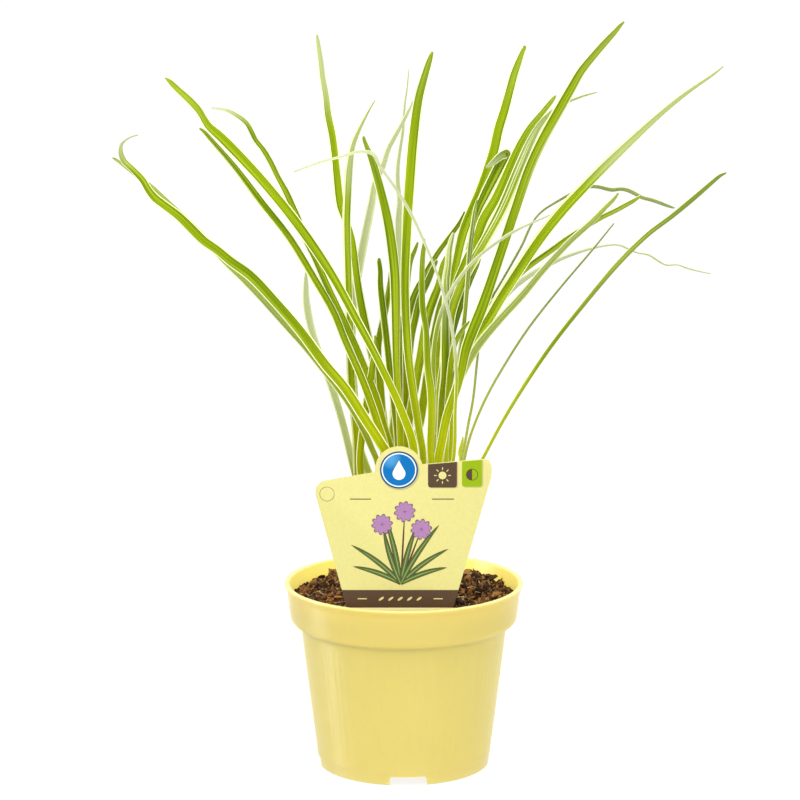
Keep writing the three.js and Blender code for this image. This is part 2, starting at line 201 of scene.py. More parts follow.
class CardSettings(bpy.types.PropertyGroup):
    colour: FloatVectorProperty(
        name="Card", description="Colour of the unprinted card", subtype="COLOR", default=srgb(208, 200, 127))
    band_colour: FloatVectorProperty(
        name="Band", description="Colour of the foot band and of the lines", subtype="COLOR",
        default=srgb(80, 60, 43))
    badge_colour: FloatVectorProperty(
        name="Badge", description="Colour of the round badge", subtype="COLOR", default=srgb(0, 72, 124))
    badge_sky: FloatVectorProperty(
        name="Badge middle", description="Colour inside the badge's ring", subtype="COLOR",
        default=srgb(0, 103, 166))
    badge_light: FloatVectorProperty(
        name="Badge light", description="Colour of the badge's highlight", subtype="COLOR",
        default=srgb(84, 156, 204))


class LeafSettings(bpy.types.PropertyGroup):
    thickness: FloatProperty(
        name="Thickness", description="Thickness along a leaf's middle", default=0.62 * MM, unit="LENGTH")
    seed: IntProperty(name="Seed", description="Starts the random draws", default=11)
    bright: FloatVectorProperty(
        name="Bright green", description="Colour of the lightest leaves", subtype="COLOR",
        default=srgb(157, 179, 0))
    dark: FloatVectorProperty(
        name="Dark green", description="Colour of the darkest leaves", subtype="COLOR",
        default=srgb(71, 107, 0))
    # The lower green is partly the leaves' own yellower colour near the soil and partly painted light: it is
    # made lighter low down, where the leaves shade each other.
    low: FloatVectorProperty(
        name="Lower green", description="Colour that leaves take near the soil", subtype="COLOR",
        default=srgb(212, 216, 0))
    stripe: FloatVectorProperty(
        name="Stripe", description="Colour of the fine lines along a leaf", subtype="COLOR",
        default=srgb(198, 210, 60))
    pale: FloatVectorProperty(
        name="Pale green", description="Colour of washed-out leaves", subtype="COLOR",
        default=srgb(196, 202, 162))
    foot: FloatVectorProperty(
        name="Foot", description="Colour of a leaf's foot", subtype="COLOR", default=srgb(230, 230, 110))
    glow: FloatVectorProperty(
        name="Glow", description="Colour of the light that comes through a leaf", subtype="COLOR",
        default=srgb(178, 192, 20))
    # The cream is also the colour of the margins' painted glow.
    cream: FloatVectorProperty(
        name="Cream", description="Colour of the leaves' margins", subtype="COLOR",
        default=srgb(252, 253, 196))


class StageSettings(bpy.types.PropertyGroup):
    floor_colour: FloatVectorProperty(
        name="Floor", description="Colour of the floor", subtype="COLOR", default=(0.2, 0.2, 0.2))
    floor_glow: FloatProperty(
        name="Floor glow", description="Strength of the light from the floor itself", default=0.8, min=0)
    key_power: FloatProperty(
        name="Key light", description="Power of the large soft light", default=14, unit="POWER")
    front_power: FloatProperty(
        name="Front light", description="Power of the low light at the front", default=9.8, unit="POWER")
    strip_power: FloatProperty(
        name="Strip light", description="Power of the narrow light that makes the sheen at the left",
        default=12, unit="POWER")
    back_power: FloatProperty(
        name="Back light", description="Power of the light behind the plant", default=0.6, unit="POWER")
    top_power: FloatProperty(
        name="Top light", description="Power of the soft light overhead", default=8, unit="POWER")
    sky: FloatProperty(name="Sky", description="Strength of the light from all sides", default=1.0, min=0)


# Shader sums

class Value:
    """One output of a node. A sum written on it adds the Math nodes for that sum."""

    def __init__(self, paint, socket):
        self.paint = paint
        self.socket = socket

    def math(self, operation, *numbers):
        inputs = dict(enumerate(numbers))
        return self.paint.add("Math", {"operation": operation}, inputs)

    def __add__(self, other):
        return self.math("ADD", self, other)

    __radd__ = __add__

    def __sub__(self, other):
        return self.math("SUBTRACT", self, other)

    def __rsub__(self, other):
        return self.math("SUBTRACT", other, self)

    def __mul__(self, other):
        return self.math("MULTIPLY", self, other)

    __rmul__ = __mul__

    def __truediv__(self, other):
        return self.math("DIVIDE", self, other)

    def root(self):
        return self.math("SQRT", self)

    def other(self, name):
        """Another output of the same node."""
        return Value(self.paint, self.socket.node.outputs[name])

    def sine(self):
        return self.math("SINE", self)

    def smooth(self, low, high):
        """0 below low and 1 above high, with a soft step between them."""
        return self.paint.add(
            "MapRange", {"interpolation_type": "SMOOTHSTEP"},
            {"Value": self, "From Min": low, "From Max": high})


class Paint:
    """A material that is built node by node."""

    def __init__(self, name):
        self.material = bpy.data.materials.new(name)
        self.material.use_nodes = True
        self.tree = self.material.node_tree
        self.tree.nodes.clear()

    def add(self, kind, settings=None, inputs=None, output=0):
        """Adds one node: its type, its settings, and the number or link for each of its sockets."""
        node = self.tree.nodes.new("ShaderNode" + kind)
        for name, setting in (settings or {}).items():
            setattr(node, name, setting)
        for name, given in (inputs or {}).items():
            if isinstance(given, Value):
                self.tree.links.new(given.socket, node.inputs[name])
            else:
                node.inputs[name].default_value = given
        return Value(self, node.outputs[output])

    def place(self):
        return self.add("TexCoord", output="Object")

    def part(self, vector, axis):
        return self.add("SeparateXYZ", {}, {0: vector}, output=axis)

    def attribute(self, name, output="Fac"):
        return self.add("Attribute", {"attribute_name": name}, output=output)

    def stretched(self, vector, scale):
        return self.add("Mapping", {}, {"Vector": vector, "Scale": scale})

    def noise(self, vector, scale, detail=2.0, roughness=0.5):
        return self.add(
            "TexNoise", {}, {"Vector": vector, "Scale": scale, "Detail": detail, "Roughness": roughness})

    def mix(self, share, a, b):
        """Two colours mixed; the sockets of a Mix node's colours are its seventh and eighth."""
        inputs = {0: share, 6: self.colour(a), 7: self.colour(b)}
        return self.add("Mix", {"data_type": "RGBA"}, inputs, output=2)

    @staticmethod
    def colour(given):
        return given if isinstance(given, Value) else (*given[:3], 1)

    def bump(self, height, distance, strength):
        return self.add("Bump", {}, {"Height": height, "Distance": distance, "Strength": strength})

    def shade(self, sockets, see_through=0.0, through_colour=None):
        """Ends the material with one shader, and with light of one colour that comes through a thin piece."""
        shader = self.add("BsdfPrincipled", {}, sockets)
        if see_through:
            behind = self.add("BsdfTranslucent", {}, {"Color": self.colour(through_colour)})
            shader = self.add("MixShader", {}, {0: see_through, 1: shader, 2: behind})
        end = self.tree.nodes.new("ShaderNodeOutputMaterial")
        self.tree.links.new(shader.socket, end.inputs["Surface"])
        return self.material


def moulded_plastic(settings):
    """Satin plastic that light soaks through: faint flow marks, a fine grain and an upright sheen, with
    painted light (a lighter, glowing inner face of the band and a painted highlight on the lip's edge) and
    painted shade (a darker band and a duller, darker foot).
    """
    paint = Paint("moulded_plastic")
    place = paint.place()
    flow = paint.noise(paint.stretched(place, (260, 260, 9)), 1.0, 3)
    cloud = paint.noise(place, 38, 2)
    grain = paint.noise(place, 4200, 2)
    x, y, up = (paint.part(place, axis) / MM for axis in "XYZ")
    depth = BAND_LOW_RADIUS + (up - BAND_LOW) * BAND_LEAN - (x * x + y * y).root()
    # inside is where painted light goes: the band's inner face, which is made lighter and given a faint glow.
    inside = depth.smooth(0.4, 0.9) * up.smooth(BAND_LOW + 1, BAND_LOW + 4)
    # Where the painted highlight goes: the lip's thin top edge.
    lip_highlight = up.smooth(POT_HEIGHT - LIP_EDGE - 0.05, POT_HEIGHT - 0.05)

    base = paint.mix(flow * 0.5 + cloud * 0.5, scaled(settings.colour, 0.95), scaled(settings.colour, 1.03))
    # Painted shade: from the step under the band upwards, the plastic is made a little darker.
    base = paint.mix(up.smooth(WALL_TOP - 1, WALL_TOP + 1), base, scaled(settings.colour, 0.93))
    base = paint.mix(inside, base, settings.inside_painted_light_colour)
    # Painted highlight on the lip's edge.
    base = paint.mix(lip_highlight, base, settings.lip_highlight_colour)
    # Painted shade: the foot is made darker and duller towards the bottom.
    base = paint.mix(1 - up.smooth(1, 10), base, settings.foot_shade_colour)
    rough = 0.36 + cloud * 0.08
    normal = paint.bump(grain + flow * 0.3, 0.04 * MM, 0.25)
    sockets = {
        "Base Color": base, "Roughness": rough, "Normal": normal, "Specular IOR Level": 0.45,
        "Anisotropic": 0.85, "Anisotropic Rotation": 0.25,
        "Subsurface Weight": 0.8, "Subsurface Scale": 5 * MM, "Subsurface Radius": (1, 0.95, 0.6),
        # The emission is painted light: the band's inner face glows a little.
        "Emission Color": paint.mix(inside, (0, 0, 0), settings.inside_painted_glow_colour), "Emission Strength": 0.25,
    }
    return paint.shade(sockets)


def leaf_skin(settings):
    """Green leaf with cream margins, fine ribs along it, a yellower lower part that is partly painted light,
    a pale foot and margins that glow with painted light.
    """
    paint = Paint("leaf_skin")
    uv = paint.add("UVMap", {"uv_map": "UVMap"})
    across, along = paint.part(uv, "X"), paint.part(uv, "Y")
    look = paint.attribute("look", "Color")
    tone, left, right = (paint.part(look, axis) for axis in "XYZ")
    stripes = look.other("Alpha")
    pale, seed = paint.attribute("pale"), paint.attribute("seed")
    up = paint.part(paint.place(), "Z") / MM

    def along_leaf(wide, long, offset, detail, roughness=0.5):
        """Noise that runs along the leaf: its scale across and along, and where its draw starts."""
        place = paint.add("CombineXYZ", {}, {0: across * wide, 1: along * long, 2: seed + offset})
        return paint.noise(place, 1.0, detail, roughness)

    streak = along_leaf(3.6, 3, 0, 2, 0.6)
    drift = along_leaf(2, 9, 40, 2)
    stripe = along_leaf(6, 2, 80, 1).smooth(0.52, 0.66) * stripes
    vein = (across * 25 + seed).sine()

    margin, outline = stripe, 0
    for side, width in ((across, left), (1 - across, right)):
        inwards = side + (drift - 0.5) * 0.06
        margin = margin + 1 - inwards.smooth(width * 0.55, width + 0.02)
        outline = outline + 1 - inwards.smooth(width + 0.02, width + 0.16)
    margin = margin.smooth(0, 1)

    shade = tone + (streak - 0.5) * 1.8 + (drift - 0.5) * 0.6 - outline * 0.4
    green = paint.mix(shade.smooth(-0.1, 1.1), settings.dark, settings.bright)
    line = (streak + vein * 0.05).smooth(0.52, 0.7)
    green = paint.mix(line * 0.45, green, settings.stripe)
    # Near the soil the leaves turn yellower and lighter: partly their own colour, partly painted light
    # against the shade low in the tuft.
    low = 1 - (up + (drift - 0.5) * 60).smooth(140, 235)
    green = paint.mix(low * 0.75, green, settings.low)
    green = paint.mix(pale, green, settings.pale)
    foot = 1 - (up + (drift - 0.5) * 20).smooth(90, 138)
    green = paint.mix(foot * 0.85, green, settings.foot)
    edge = margin * (0.66 + drift.smooth(0.3, 0.7) * 0.31) * (1 - pale * 0.4)
    base = paint.mix(edge, green, settings.cream)

    rib = vein * 0.5 + streak
    normal = paint.bump(rib, 0.12 * MM, 0.5)
    rough = 0.5 + streak * 0.16
    # Painted light: the cream margins glow a little, so they stay bright where the leaf curves away from the
    # light.
    painted_margin_glow = paint.mix(edge * (1 - pale), (0, 0, 0), settings.cream)
    sockets = {
        "Base Color": base, "Roughness": rough, "Normal": normal, "Specular IOR Level": 0.12,
        "Emission Color": painted_margin_glow, "Emission Strength": 0.16,
    }
    return paint.shade(sockets, 0.25 - (margin + pale).smooth(0, 1) * 0.12, settings.glow)


def peat(settings):
    """Fine dark soil with lighter specks."""
    paint = Paint("peat")
    place = paint.place()
    clod = paint.noise(place, 420, 4, 0.65)
    speck = paint.noise(place, 2600, 2)
    base = paint.mix(clod.smooth(0.35, 0.7), scaled(settings.colour, 0.35), settings.colour)
    base = paint.mix(speck.smooth(0.62, 0.72) * 0.6, base, settings.speck)
    normal = paint.bump(clod + speck * 0.5, 0.7 * MM, 0.8)
    return paint.shade({"Base Color": base, "Roughness": 0.92, "Normal": normal, "Specular IOR Level": 0.25})


def crumb_skin():
    """Crumbs and fibres take their own tints, with a fine grain."""
    paint = Paint("crumb_skin")
    tint = paint.attribute("tint", "Color")
    grain = paint.noise(paint.place(), 1900, 3, 0.6)
    base = paint.mix(grain.smooth(0.3, 0.75), paint.mix(0.4, tint, (0.01, 0.006, 0.004)), tint)
    normal = paint.bump(grain, 0.3 * MM, 0.7)
    return paint.shade({"Base Color": base, "Roughness": 0.85, "Normal": normal, "Specular IOR Level": 0.3})


def ink(name, colour, roughness=0.38):
    """Printed or plain card: one colour, faintly mottled by the stock below it."""
    paint = Paint(name)
    place = paint.place()
    mottle = paint.noise(place, 900, 3)
    fibre = paint.noise(paint.stretched(place, (500, 500, 2400)), 1.0, 2)
    base = paint.mix((mottle * 0.6 + fibre * 0.4).smooth(0.35, 0.65), scaled(colour, 0.95), colour)
    normal = paint.bump(fibre + mottle, 0.02 * MM, 0.2)
    return paint.shade(
        {"Base Color": base, "Roughness": roughness, "Normal": normal, "Specular IOR Level": 0.15})


def badge_ink(name, deep, light):
    """The badge's ink: a round highlight up and left of its middle that fades into the deep colour."""
    paint = Paint(name)
    place = paint.place()
    across = paint.part(place, "X") / MM - (BADGE.x - 4)
    up = paint.part(place, "Z") / MM - (BADGE.y + 5.5)
    reach = (across * across + up * up) / BADGE_DISC ** 2
    base = paint.mix(1 - reach.smooth(-0.2, 0.4), deep, light)
    return paint.shade({"Base Color": base, "Roughness": 0.45, "Specular IOR Level": 0.12})


# Modelling helpers

def deselect():
    bpy.ops.object.select_all(action="DESELECT")


def pick(piece):
    deselect()
    piece.select_set(True)
    bpy.context.view_layer.objects.active = piece


def edit(piece, mode="VERT"):
    """Opens a piece in edit mode with all of it selected."""
    pick(piece)
    bpy.ops.object.mode_set(mode="EDIT")
    bpy.ops.mesh.select_mode(type=mode)
    bpy.ops.mesh.select_all(action="SELECT")


def close_edit():
    bpy.ops.object.mode_set(mode="OBJECT")


def modify(piece, kind, **settings):
    """Adds a modifier and applies it."""
    pick(piece)
    modifier = piece.modifiers.new(kind.title(), kind)
    for name, setting in settings.items():
        setattr(modifier, name, setting)
    bpy.ops.object.modifier_apply(modifier=modifier.name)


def join(pieces, name):
    deselect()
    for piece in pieces:
        piece.select_set(True)
    bpy.context.view_layer.objects.active = pieces[0]
    if len(pieces) > 1:
        bpy.ops.object.join()
    pieces[0].name = name
    return pieces[0]


def smooth(piece, degrees):
    pick(piece)
    bpy.ops.object.shade_smooth_by_angle(angle=math.radians(degrees))


def settle(piece, name, nodes=()):
    """Ends a piece: its place goes into its mesh, and the frame is told what it is."""
    pick(piece)
    piece.name = name
    piece.data.name = name
    bpy.ops.object.transform_apply(location=True, rotation=True, scale=True)
    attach(piece, BODY)
    if nodes:
        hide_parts(*nodes)


def rounded(points):
    """An open outline of (radius, up, fillet): each corner with a fillet is turned into a short arc."""
    outline = []
    for index, (radius, up, fillet) in enumerate(points):
        corner = Vector((radius, up))
        if not fillet:
            outline.append(corner)
            continue
        before = Vector(points[index - 1][:2]) - corner
        after = Vector(points[index + 1][:2]) - corner
        reach = min(fillet, before.length * 0.48, after.length * 0.48)
        start, end = corner + before.normalized() * reach, corner + after.normalized() * reach
        for step in range(5):
            share = step / 4
            bend = lerp(lerp(start, corner, share), lerp(corner, end, share), share)
            outline.append(bend)
    return outline


def turned_piece(outline, sides):
    """A closed body turned about the upright axis: ring after ring is extruded along the outline."""
    deselect()
    first = outline[0]
    bpy.ops.mesh.primitive_circle_add(
        vertices=sides, radius=first.x * MM, fill_type="NGON", location=(0, 0, first.y * MM))
    piece = bpy.context.object
    edit(piece, "FACE")
    for here, following in zip(outline, outline[1:]):
        rise = (following.y - here.y) * MM
        bpy.ops.mesh.extrude_region_move(TRANSFORM_OT_translate={"value": (0, 0, rise)})
        bpy.ops.transform.resize(value=(following.x / here.x, following.x / here.x, 1))
    bpy.ops.mesh.select_all(action="SELECT")
    bpy.ops.mesh.normals_make_consistent(inside=False)
    close_edit()
    bpy.ops.object.transform_apply(location=True, rotation=True, scale=True)
    return piece


# Pot

def wall_radius(up):
    return lerp(FOOT_RADIUS, WALL_TOP_RADIUS, up / WALL_TOP)


def pot_outline():
    """Half the pot's section, from the middle of its underside, round the lip, to its floor inside."""
    outside = [
        (3, 0.5, 0), (3.6, 0, 0.3),
        (CHANNEL_INNER_RADIUS - 2, 0, 0.5), (CHANNEL_INNER_RADIUS, CHANNEL_HEIGHT, 0.5),
        (wall_radius(CHANNEL_HEIGHT) - POT_WALL, CHANNEL_HEIGHT, 0.5),
        (FOOT_RADIUS - POT_WALL, 0, 0.25), (FOOT_RADIUS, 0, 0.7),
        (wall_radius(6.2), 6.2, 0), (wall_radius(6.6) + 0.12, 6.6, 0), (wall_radius(7.1), 7.1, 0),
    ]
    outside += [(wall_radius(up), up, 0) for up in (11, 13, 15, 18, 26, 34, 42, 50, 58, 63, 65, 67, 69)]
    outside += [
        (WALL_TOP_RADIUS, WALL_TOP, 1.2), (WALL_TOP_RADIUS + 1, WALL_TOP + 1.6, 0.8),
        (BAND_LOW_RADIUS - 1.3, BAND_LOW - 2.2, 2.2), (BAND_LOW_RADIUS, BAND_LOW, 2.2),
        (BAND_TOP_RADIUS, BAND_TOP - 1.4, 1.6), (LIP_RADIUS, POT_HEIGHT - 0.5, 0.4),
        (LIP_RADIUS - LIP_EDGE, POT_HEIGHT, LIP_EDGE),
        (BAND_TOP_RADIUS - POT_WALL + LIP_EDGE, POT_HEIGHT, 0.5),
    ]
    inside = [
        (BAND_TOP_RADIUS - POT_WALL, BAND_TOP - 0.5, 0.8), (BAND_LOW_RADIUS - POT_WALL, BAND_LOW + 0.6, 2),
        (WALL_TOP_RADIUS - POT_WALL + 0.3, WALL_TOP + 1, 1.4),
        (wall_radius(FLOOR_TOP + 1.5) - POT_WALL, FLOOR_TOP + 1.5, 0),
        (wall_radius(FLOOR_TOP) - POT_WALL - 1.2, FLOOR_TOP, 0), (CHANNEL_INNER_RADIUS + 0.6, FLOOR_TOP, 0.5),
        (CHANNEL_INNER_RADIUS - 1.4, FLOOR_THICKNESS, 0.5), (3, FLOOR_THICKNESS, 0),
    ]
    return rounded(outside + inside)


def raise_flutes(piece, count, depth):
    """Pushes the wall out in fine upright ribs that fade at both ends."""
    for vertex in piece.data.vertices:
        place = vertex.co / MM
        radius = math.hypot(place.x, place.y)
        window = smoothstep(place.z, *FLUTE_START) * (1 - smoothstep(place.z, *FLUTE_END))
        if window == 0 or abs(radius - wall_radius(place.z)) > 0.2:
            continue
        angle = math.atan2(place.y, place.x)
        rib = abs(math.cos(angle * count / 2)) ** 6
        push = depth * window * (rib - 0.5) / (radius * MM)
        vertex.co.x *= 1 + push
        vertex.co.y *= 1 + push


def cut(piece, cutters):
    """Cuts the joined cutters out of a piece."""
    cutter = join(cutters, "cutter")
    modify(piece, "BOOLEAN", operation="DIFFERENCE", object=cutter, solver="MANIFOLD")
    bpy.data.objects.remove(cutter)


def notch_cutter(degrees):
    """A block across the foot, with its upright edges leaning in and its corners rounded."""
    deselect()
    bpy.ops.mesh.primitive_cube_add(size=1)
    cutter = bpy.context.object
    for vertex in cutter.data.vertices:
        high = vertex.co.z > 0
        half = NOTCH_WIDTH / 2 + (-0.4 if high else 0.6)
        across = half if vertex.co.x > 0 else -half
        back = -FOOT_RADIUS - 3 if vertex.co.y < 0 else -FOOT_RADIUS + 6
        vertex.co = Vector((across, back, CHANNEL_HEIGHT if high else -2)) * MM
    modify(cutter, "BEVEL", width=0.7 * MM, segments=3, limit_method="ANGLE")
    cutter.data.transform(Matrix.Rotation(math.radians(degrees), 4, "Z"))
    return cutter


def drain_cutter(index):
    deselect()
    place = polar(DRAIN_RING_RADIUS, (index + 0.5) * 360 / DRAIN_COUNT, (CHANNEL_HEIGHT + FLOOR_TOP) / 2)
    bpy.ops.mesh.primitive_cylinder_add(
        vertices=40, radius=DRAIN_RADIUS * MM, depth=4 * MM, location=place * MM)
    return bpy.context.object


class MakePot(bpy.types.Operator):
    """Models the nursery pot with its lip, flutes, foot notches and drainage holes"""

    bl_idname = "garlic_chives.make_pot"
    bl_label = "Make the pot"

    def execute(self, context):
        settings = context.scene.chives_pot
        piece = turned_piece(pot_outline(), settings.flutes * 6)
        raise_flutes(piece, settings.flutes, settings.flute_depth)
        notches = [
            notch_cutter(FRONT_NOTCH_DEGREES + 360 * index / NOTCH_COUNT) for index in range(NOTCH_COUNT)]
        cut(piece, notches)
        cut(piece, [drain_cutter(index) for index in range(DRAIN_COUNT)])
        smooth(piece, 32)
        piece.data.materials.clear()
        piece.data.materials.append(moulded_plastic(settings))
        settle(piece, "nursery_pot", ["pot"])
        return {"FINISHED"}


# Soil

def soil_height(x, y):
    """The mound of the frame's solid, with clods and crumbs on it, in millimetres."""
    reach = min(1, math.hypot(x, y) / 50)
    mound = SOIL_MOUND * (1 - reach * reach)
    lumps = math.sin(x * 0.41 + 1.3) * math.cos(y * 0.37) + 0.6 * math.sin(x * 0.83 + y * 0.71 + 0.4)
    clods = 1.3 * noise.noise(Vector((x, y, 3)) / 5.5) + 0.9 * noise.noise(Vector((x, y, 9)) / 2.3)
    return SOIL_EDGE + mound + SOIL_LUMP * lumps / 1.6 + clods


def soil_outline():
    side = [
        (CHANNEL_INNER_RADIUS - 1.8, FLOOR_THICKNESS + 0.3), (CHANNEL_INNER_RADIUS, FLOOR_TOP + 0.3),
        (wall_radius(FLOOR_TOP) - POT_WALL - 1.6, FLOOR_TOP + 0.3),
        (wall_radius(FLOOR_TOP + 2) - POT_WALL - 0.3, FLOOR_TOP + 2),
        (WALL_TOP_RADIUS - POT_WALL - 0.4, WALL_TOP + 1.8),
        (BAND_LOW_RADIUS - POT_WALL - 0.7, BAND_LOW + 2.2), (SOIL_RADIUS, SOIL_EDGE),
    ]
    rings = [(SOIL_RADIUS - 0.9 * step, SOIL_EDGE) for step in range(1, SOIL_RINGS)]
    return [Vector(point) for point in side + rings]


class MakeSoil(bpy.types.Operator):
    """Models the body of potting mix with its clodded surface"""

    bl_idname = "garlic_chives.make_soil"
    bl_label = "Make the soil"

    def execute(self, context):
        settings = context.scene.chives_soil
        piece = turned_piece(soil_outline(), 240)
        for vertex in piece.data.vertices:
            place = vertex.co / MM
            if place.z > SOIL_EDGE - 0.5:
                vertex.co.z = soil_height(place.x, place.y) * MM
        edit(piece, "FACE")
        bpy.ops.mesh.quads_convert_to_tris()
        close_edit()
        smooth(piece, 60)
        piece.data.materials.append(peat(settings))
        settle(piece, "potting_mix", ["soil"])
        return {"FINISHED"}


def crumb_shapes(count, fineness, draw):
    """Rough lumps of about unit size, each as its points and faces."""
    shapes = []
    for _ in range(count):
        deselect()
        bpy.ops.mesh.primitive_ico_sphere_add(subdivisions=fineness, radius=1)
        lump = bpy.context.object
        start = Vector([draw.uniform(0, 50) for _ in range(3)])
        points = []
        for vertex in lump.data.vertices:
            swell = 1 + 0.9 * noise.noise(vertex.co * 1.9 + start)
            points.append(vertex.co * swell)
        shapes.append((points, [tuple(face.vertices) for face in lump.data.polygons]))
        bpy.data.objects.remove(lump)
    return shapes


def straw_shape(draw):
    """A thin bent straw of unit length along X, square in section and pointed a little."""
    bend, sway = draw.uniform(-0.16, 0.16), draw.uniform(-0.1, 0.1)
    points, faces = [], []
    rings = 6
    for ring in range(rings):
        share = ring / (rings - 1)
        middle = Vector((share - 0.5, bend * math.sin(share * math.pi), sway * math.sin(share * 5)))
        half = 0.035 * (1 - 0.5 * abs(2 * share - 1))
        points += [middle + Vector((0, y * half, z * half)) for y, z in ((1, 1), (-1, 1), (-1, -1), (1, -1))]
        if ring:
            first = (ring - 1) * 4
            for side in range(4):
                beside = (side + 1) % 4
                faces.append((first + side, first + side + 4, first + beside + 4, first + beside))
    faces += [(0, 1, 2, 3), (len(points) - 1, len(points) - 2, len(points) - 3, len(points) - 4)]
    return points, faces


class Scatter:
    """Gathers many small shapes, each with its own place and tint, into one mesh."""

    def __init__(self):
        self.points = []
        self.faces = []
        self.tints = []

    def add(self, shape, matrix, tint):
        points, faces = shape
        first = len(self.points)
        self.points += [matrix @ point for point in points]
        self.faces += [tuple(first + corner for corner in face) for face in faces]
        self.tints += [tint] * len(points)

    def build(self, name):
        mesh = bpy.data.meshes.new(name)
        mesh.from_pydata([point * MM for point in self.points], [], self.faces)
        tint = mesh.attributes.new("tint", "FLOAT_COLOR", "POINT")
        tint.data.foreach_set("color", [level for colour in self.tints for level in (*colour, 1)])
        piece = bpy.data.objects.new(name, mesh)
        bpy.context.scene.collection.objects.link(piece)
        edit(piece)
        bpy.ops.mesh.normals_make_consistent(inside=False)
        close_edit()
        return piece


PEAT_TINTS = (srgb(46, 26, 10), srgb(80, 50, 22), srgb(118, 76, 34), srgb(154, 104, 50), srgb(190, 138, 74))
PALE_TINTS = (srgb(214, 170, 104), srgb(234, 200, 144), srgb(246, 228, 184))
BARK_TINTS = (srgb(160, 92, 32), srgb(196, 122, 46), srgb(136, 84, 36))
CHIP_TINT = srgb(235, 150, 50)


def tumbled(place, size, draw):
    """A matrix that turns a shape at random, stretches it and sets it at its place."""
    axis = Vector([draw.gauss(0, 1) for _ in range(3)]).normalized()
    turn = Matrix.Rotation(draw.uniform(0, math.tau), 4, axis)
    stretch = Matrix.Diagonal((size * draw.uniform(0.8, 1.8), size, size * draw.uniform(0.22, 0.7), 1))
    return Matrix.Translation(place) @ turn @ stretch


def on_soil(draw, reach, lift):
    """A place on the soil, at random but as dense everywhere, out to a radius."""
    radius = math.sqrt(draw.uniform(0, reach * reach))
    place = polar(radius, draw.uniform(0, 360))
    place.z = soil_height(place.x, place.y) + lift
    return place


# What lies on the crumbs: how many, their shapes and sizes, how far out and how high they lie, their tints
TOPPING = (
    (110, "large", (1.2, 2.3), SOIL_RADIUS - 3, 0.6, PEAT_TINTS),
    (70, "small", (0.9, 1.9), SOIL_RADIUS - 3, 0.8, BARK_TINTS),
    (150, "small", (0.3, 0.75), CRUMB_REACH, 0.8, PALE_TINTS),
)

# Clods that stand up by the wall: (x, y), size
CLODS = (
    ((-44, 24), 3.2), ((-36, 33), 4.2), ((-40, 12), 2.8), ((-28, 41), 3.4), ((-50, 4), 2.6), ((-10, 49), 2.8),
    ((42, 26), 4.2), ((36, 34), 5.0), ((39, 30), 4.6), ((47, 14), 3.4), ((49, 17), 3.6), ((27, 42), 3.6),
    ((51, 2), 2.6), ((12, 48), 3.0),
)


class MakeCrumbs(bpy.types.Operator):
    """Scatters crumbs, bark, pale grains and straws over the soil"""

    bl_idname = "garlic_chives.make_crumbs"
    bl_label = "Make the crumbs"

    def execute(self, context):
        settings = context.scene.chives_soil
        draw = random.Random(settings.seed)
        shapes = {"small": crumb_shapes(6, 1, draw), "large": crumb_shapes(5, 2, draw)}
        crumbs = Scatter()
        for _ in range(settings.crumbs):
            size = min(2.0, draw.lognormvariate(-0.4, 0.42))
            matrix = tumbled(on_soil(draw, CRUMB_REACH, draw.uniform(-0.2, 0.9)), size, draw)
            crumbs.add(draw.choice(shapes["small"]), matrix, draw.choice(PEAT_TINTS))
        for (x, y), size in CLODS:
            place = Vector((x, y, soil_height(x, y) + 0.4 * size))
            clod = draw.choice(shapes["large"])
            crumbs.add(clod, tumbled(place, size * 0.7, draw), draw.choice(PEAT_TINTS[1:4]))
            for _ in range(CLOD_CRUMBS):
                outward = Vector([draw.gauss(0, 1) for _ in range(3)]).normalized()
                beside = place + outward * size * draw.uniform(0.2, 0.62)
                if math.hypot(beside.x, beside.y) < SOIL_RADIUS - 2:
                    matrix = tumbled(beside, draw.uniform(0.5, 1.2), draw)
                    crumbs.add(draw.choice(shapes["small"]), matrix, draw.choice(PEAT_TINTS))
        for count, kind, sizes, reach, lift, tints in TOPPING:
            for _ in range(count):
                place = on_soil(draw, reach, lift)
                shape = draw.choice(shapes[kind])
                crumbs.add(shape, tumbled(place, draw.uniform(*sizes), draw), draw.choice(tints))
        chip = Vector((*CHIP, soil_height(*CHIP) + 2))
        crumbs.add(shapes["large"][0], tumbled(chip, 2.3, draw), CHIP_TINT)
        piece = crumbs.build("soil_crumbs")
        smooth(piece, 40)
        skin = crumb_skin()
        piece.data.materials.append(skin)
        settle(piece, "soil_crumbs")

        straws = Scatter()
        for _ in range(settings.fibres):
            place = on_soil(draw, SOIL_RADIUS - 4, 1.1)
            length = draw.uniform(3.5, 9)
            heading = Matrix.Rotation(draw.uniform(0, math.tau), 4, "Z")
            tilt = Matrix.Rotation(draw.gauss(0, 0.22), 4, "Y")
            width = draw.uniform(3.5, 8)
            size = Matrix.Diagonal((length, width, width * 0.7, 1))
            tint = draw.choice(PALE_TINTS[:2] + PEAT_TINTS[2:])
            straws.add(straw_shape(draw), Matrix.Translation(place) @ heading @ tilt @ size, tint)
        piece = straws.build("soil_straws")
        piece.data.materials.append(skin)
        settle(piece, "soil_straws")
        return {"FINISHED"}


# Card

def curve_to(outline, corner, end, steps=8):
    """Adds a rounded corner to an outline: a curve from its last point, drawn towards the corner."""
    start = outline[-1]
    for step in range(1, steps + 1):
        share = step / steps
        outline.append(lerp(lerp(start, corner, share), lerp(corner, end, share), share))


def corners(*pairs):
    return [Vector(pair) for pair in pairs]


def arc(centre, radius, start, end, steps):
    """Points on an arc, with its angles in degrees."""
    return [centre + polar(radius, lerp(start, end, step / steps)).xy for step in range(steps + 1)]


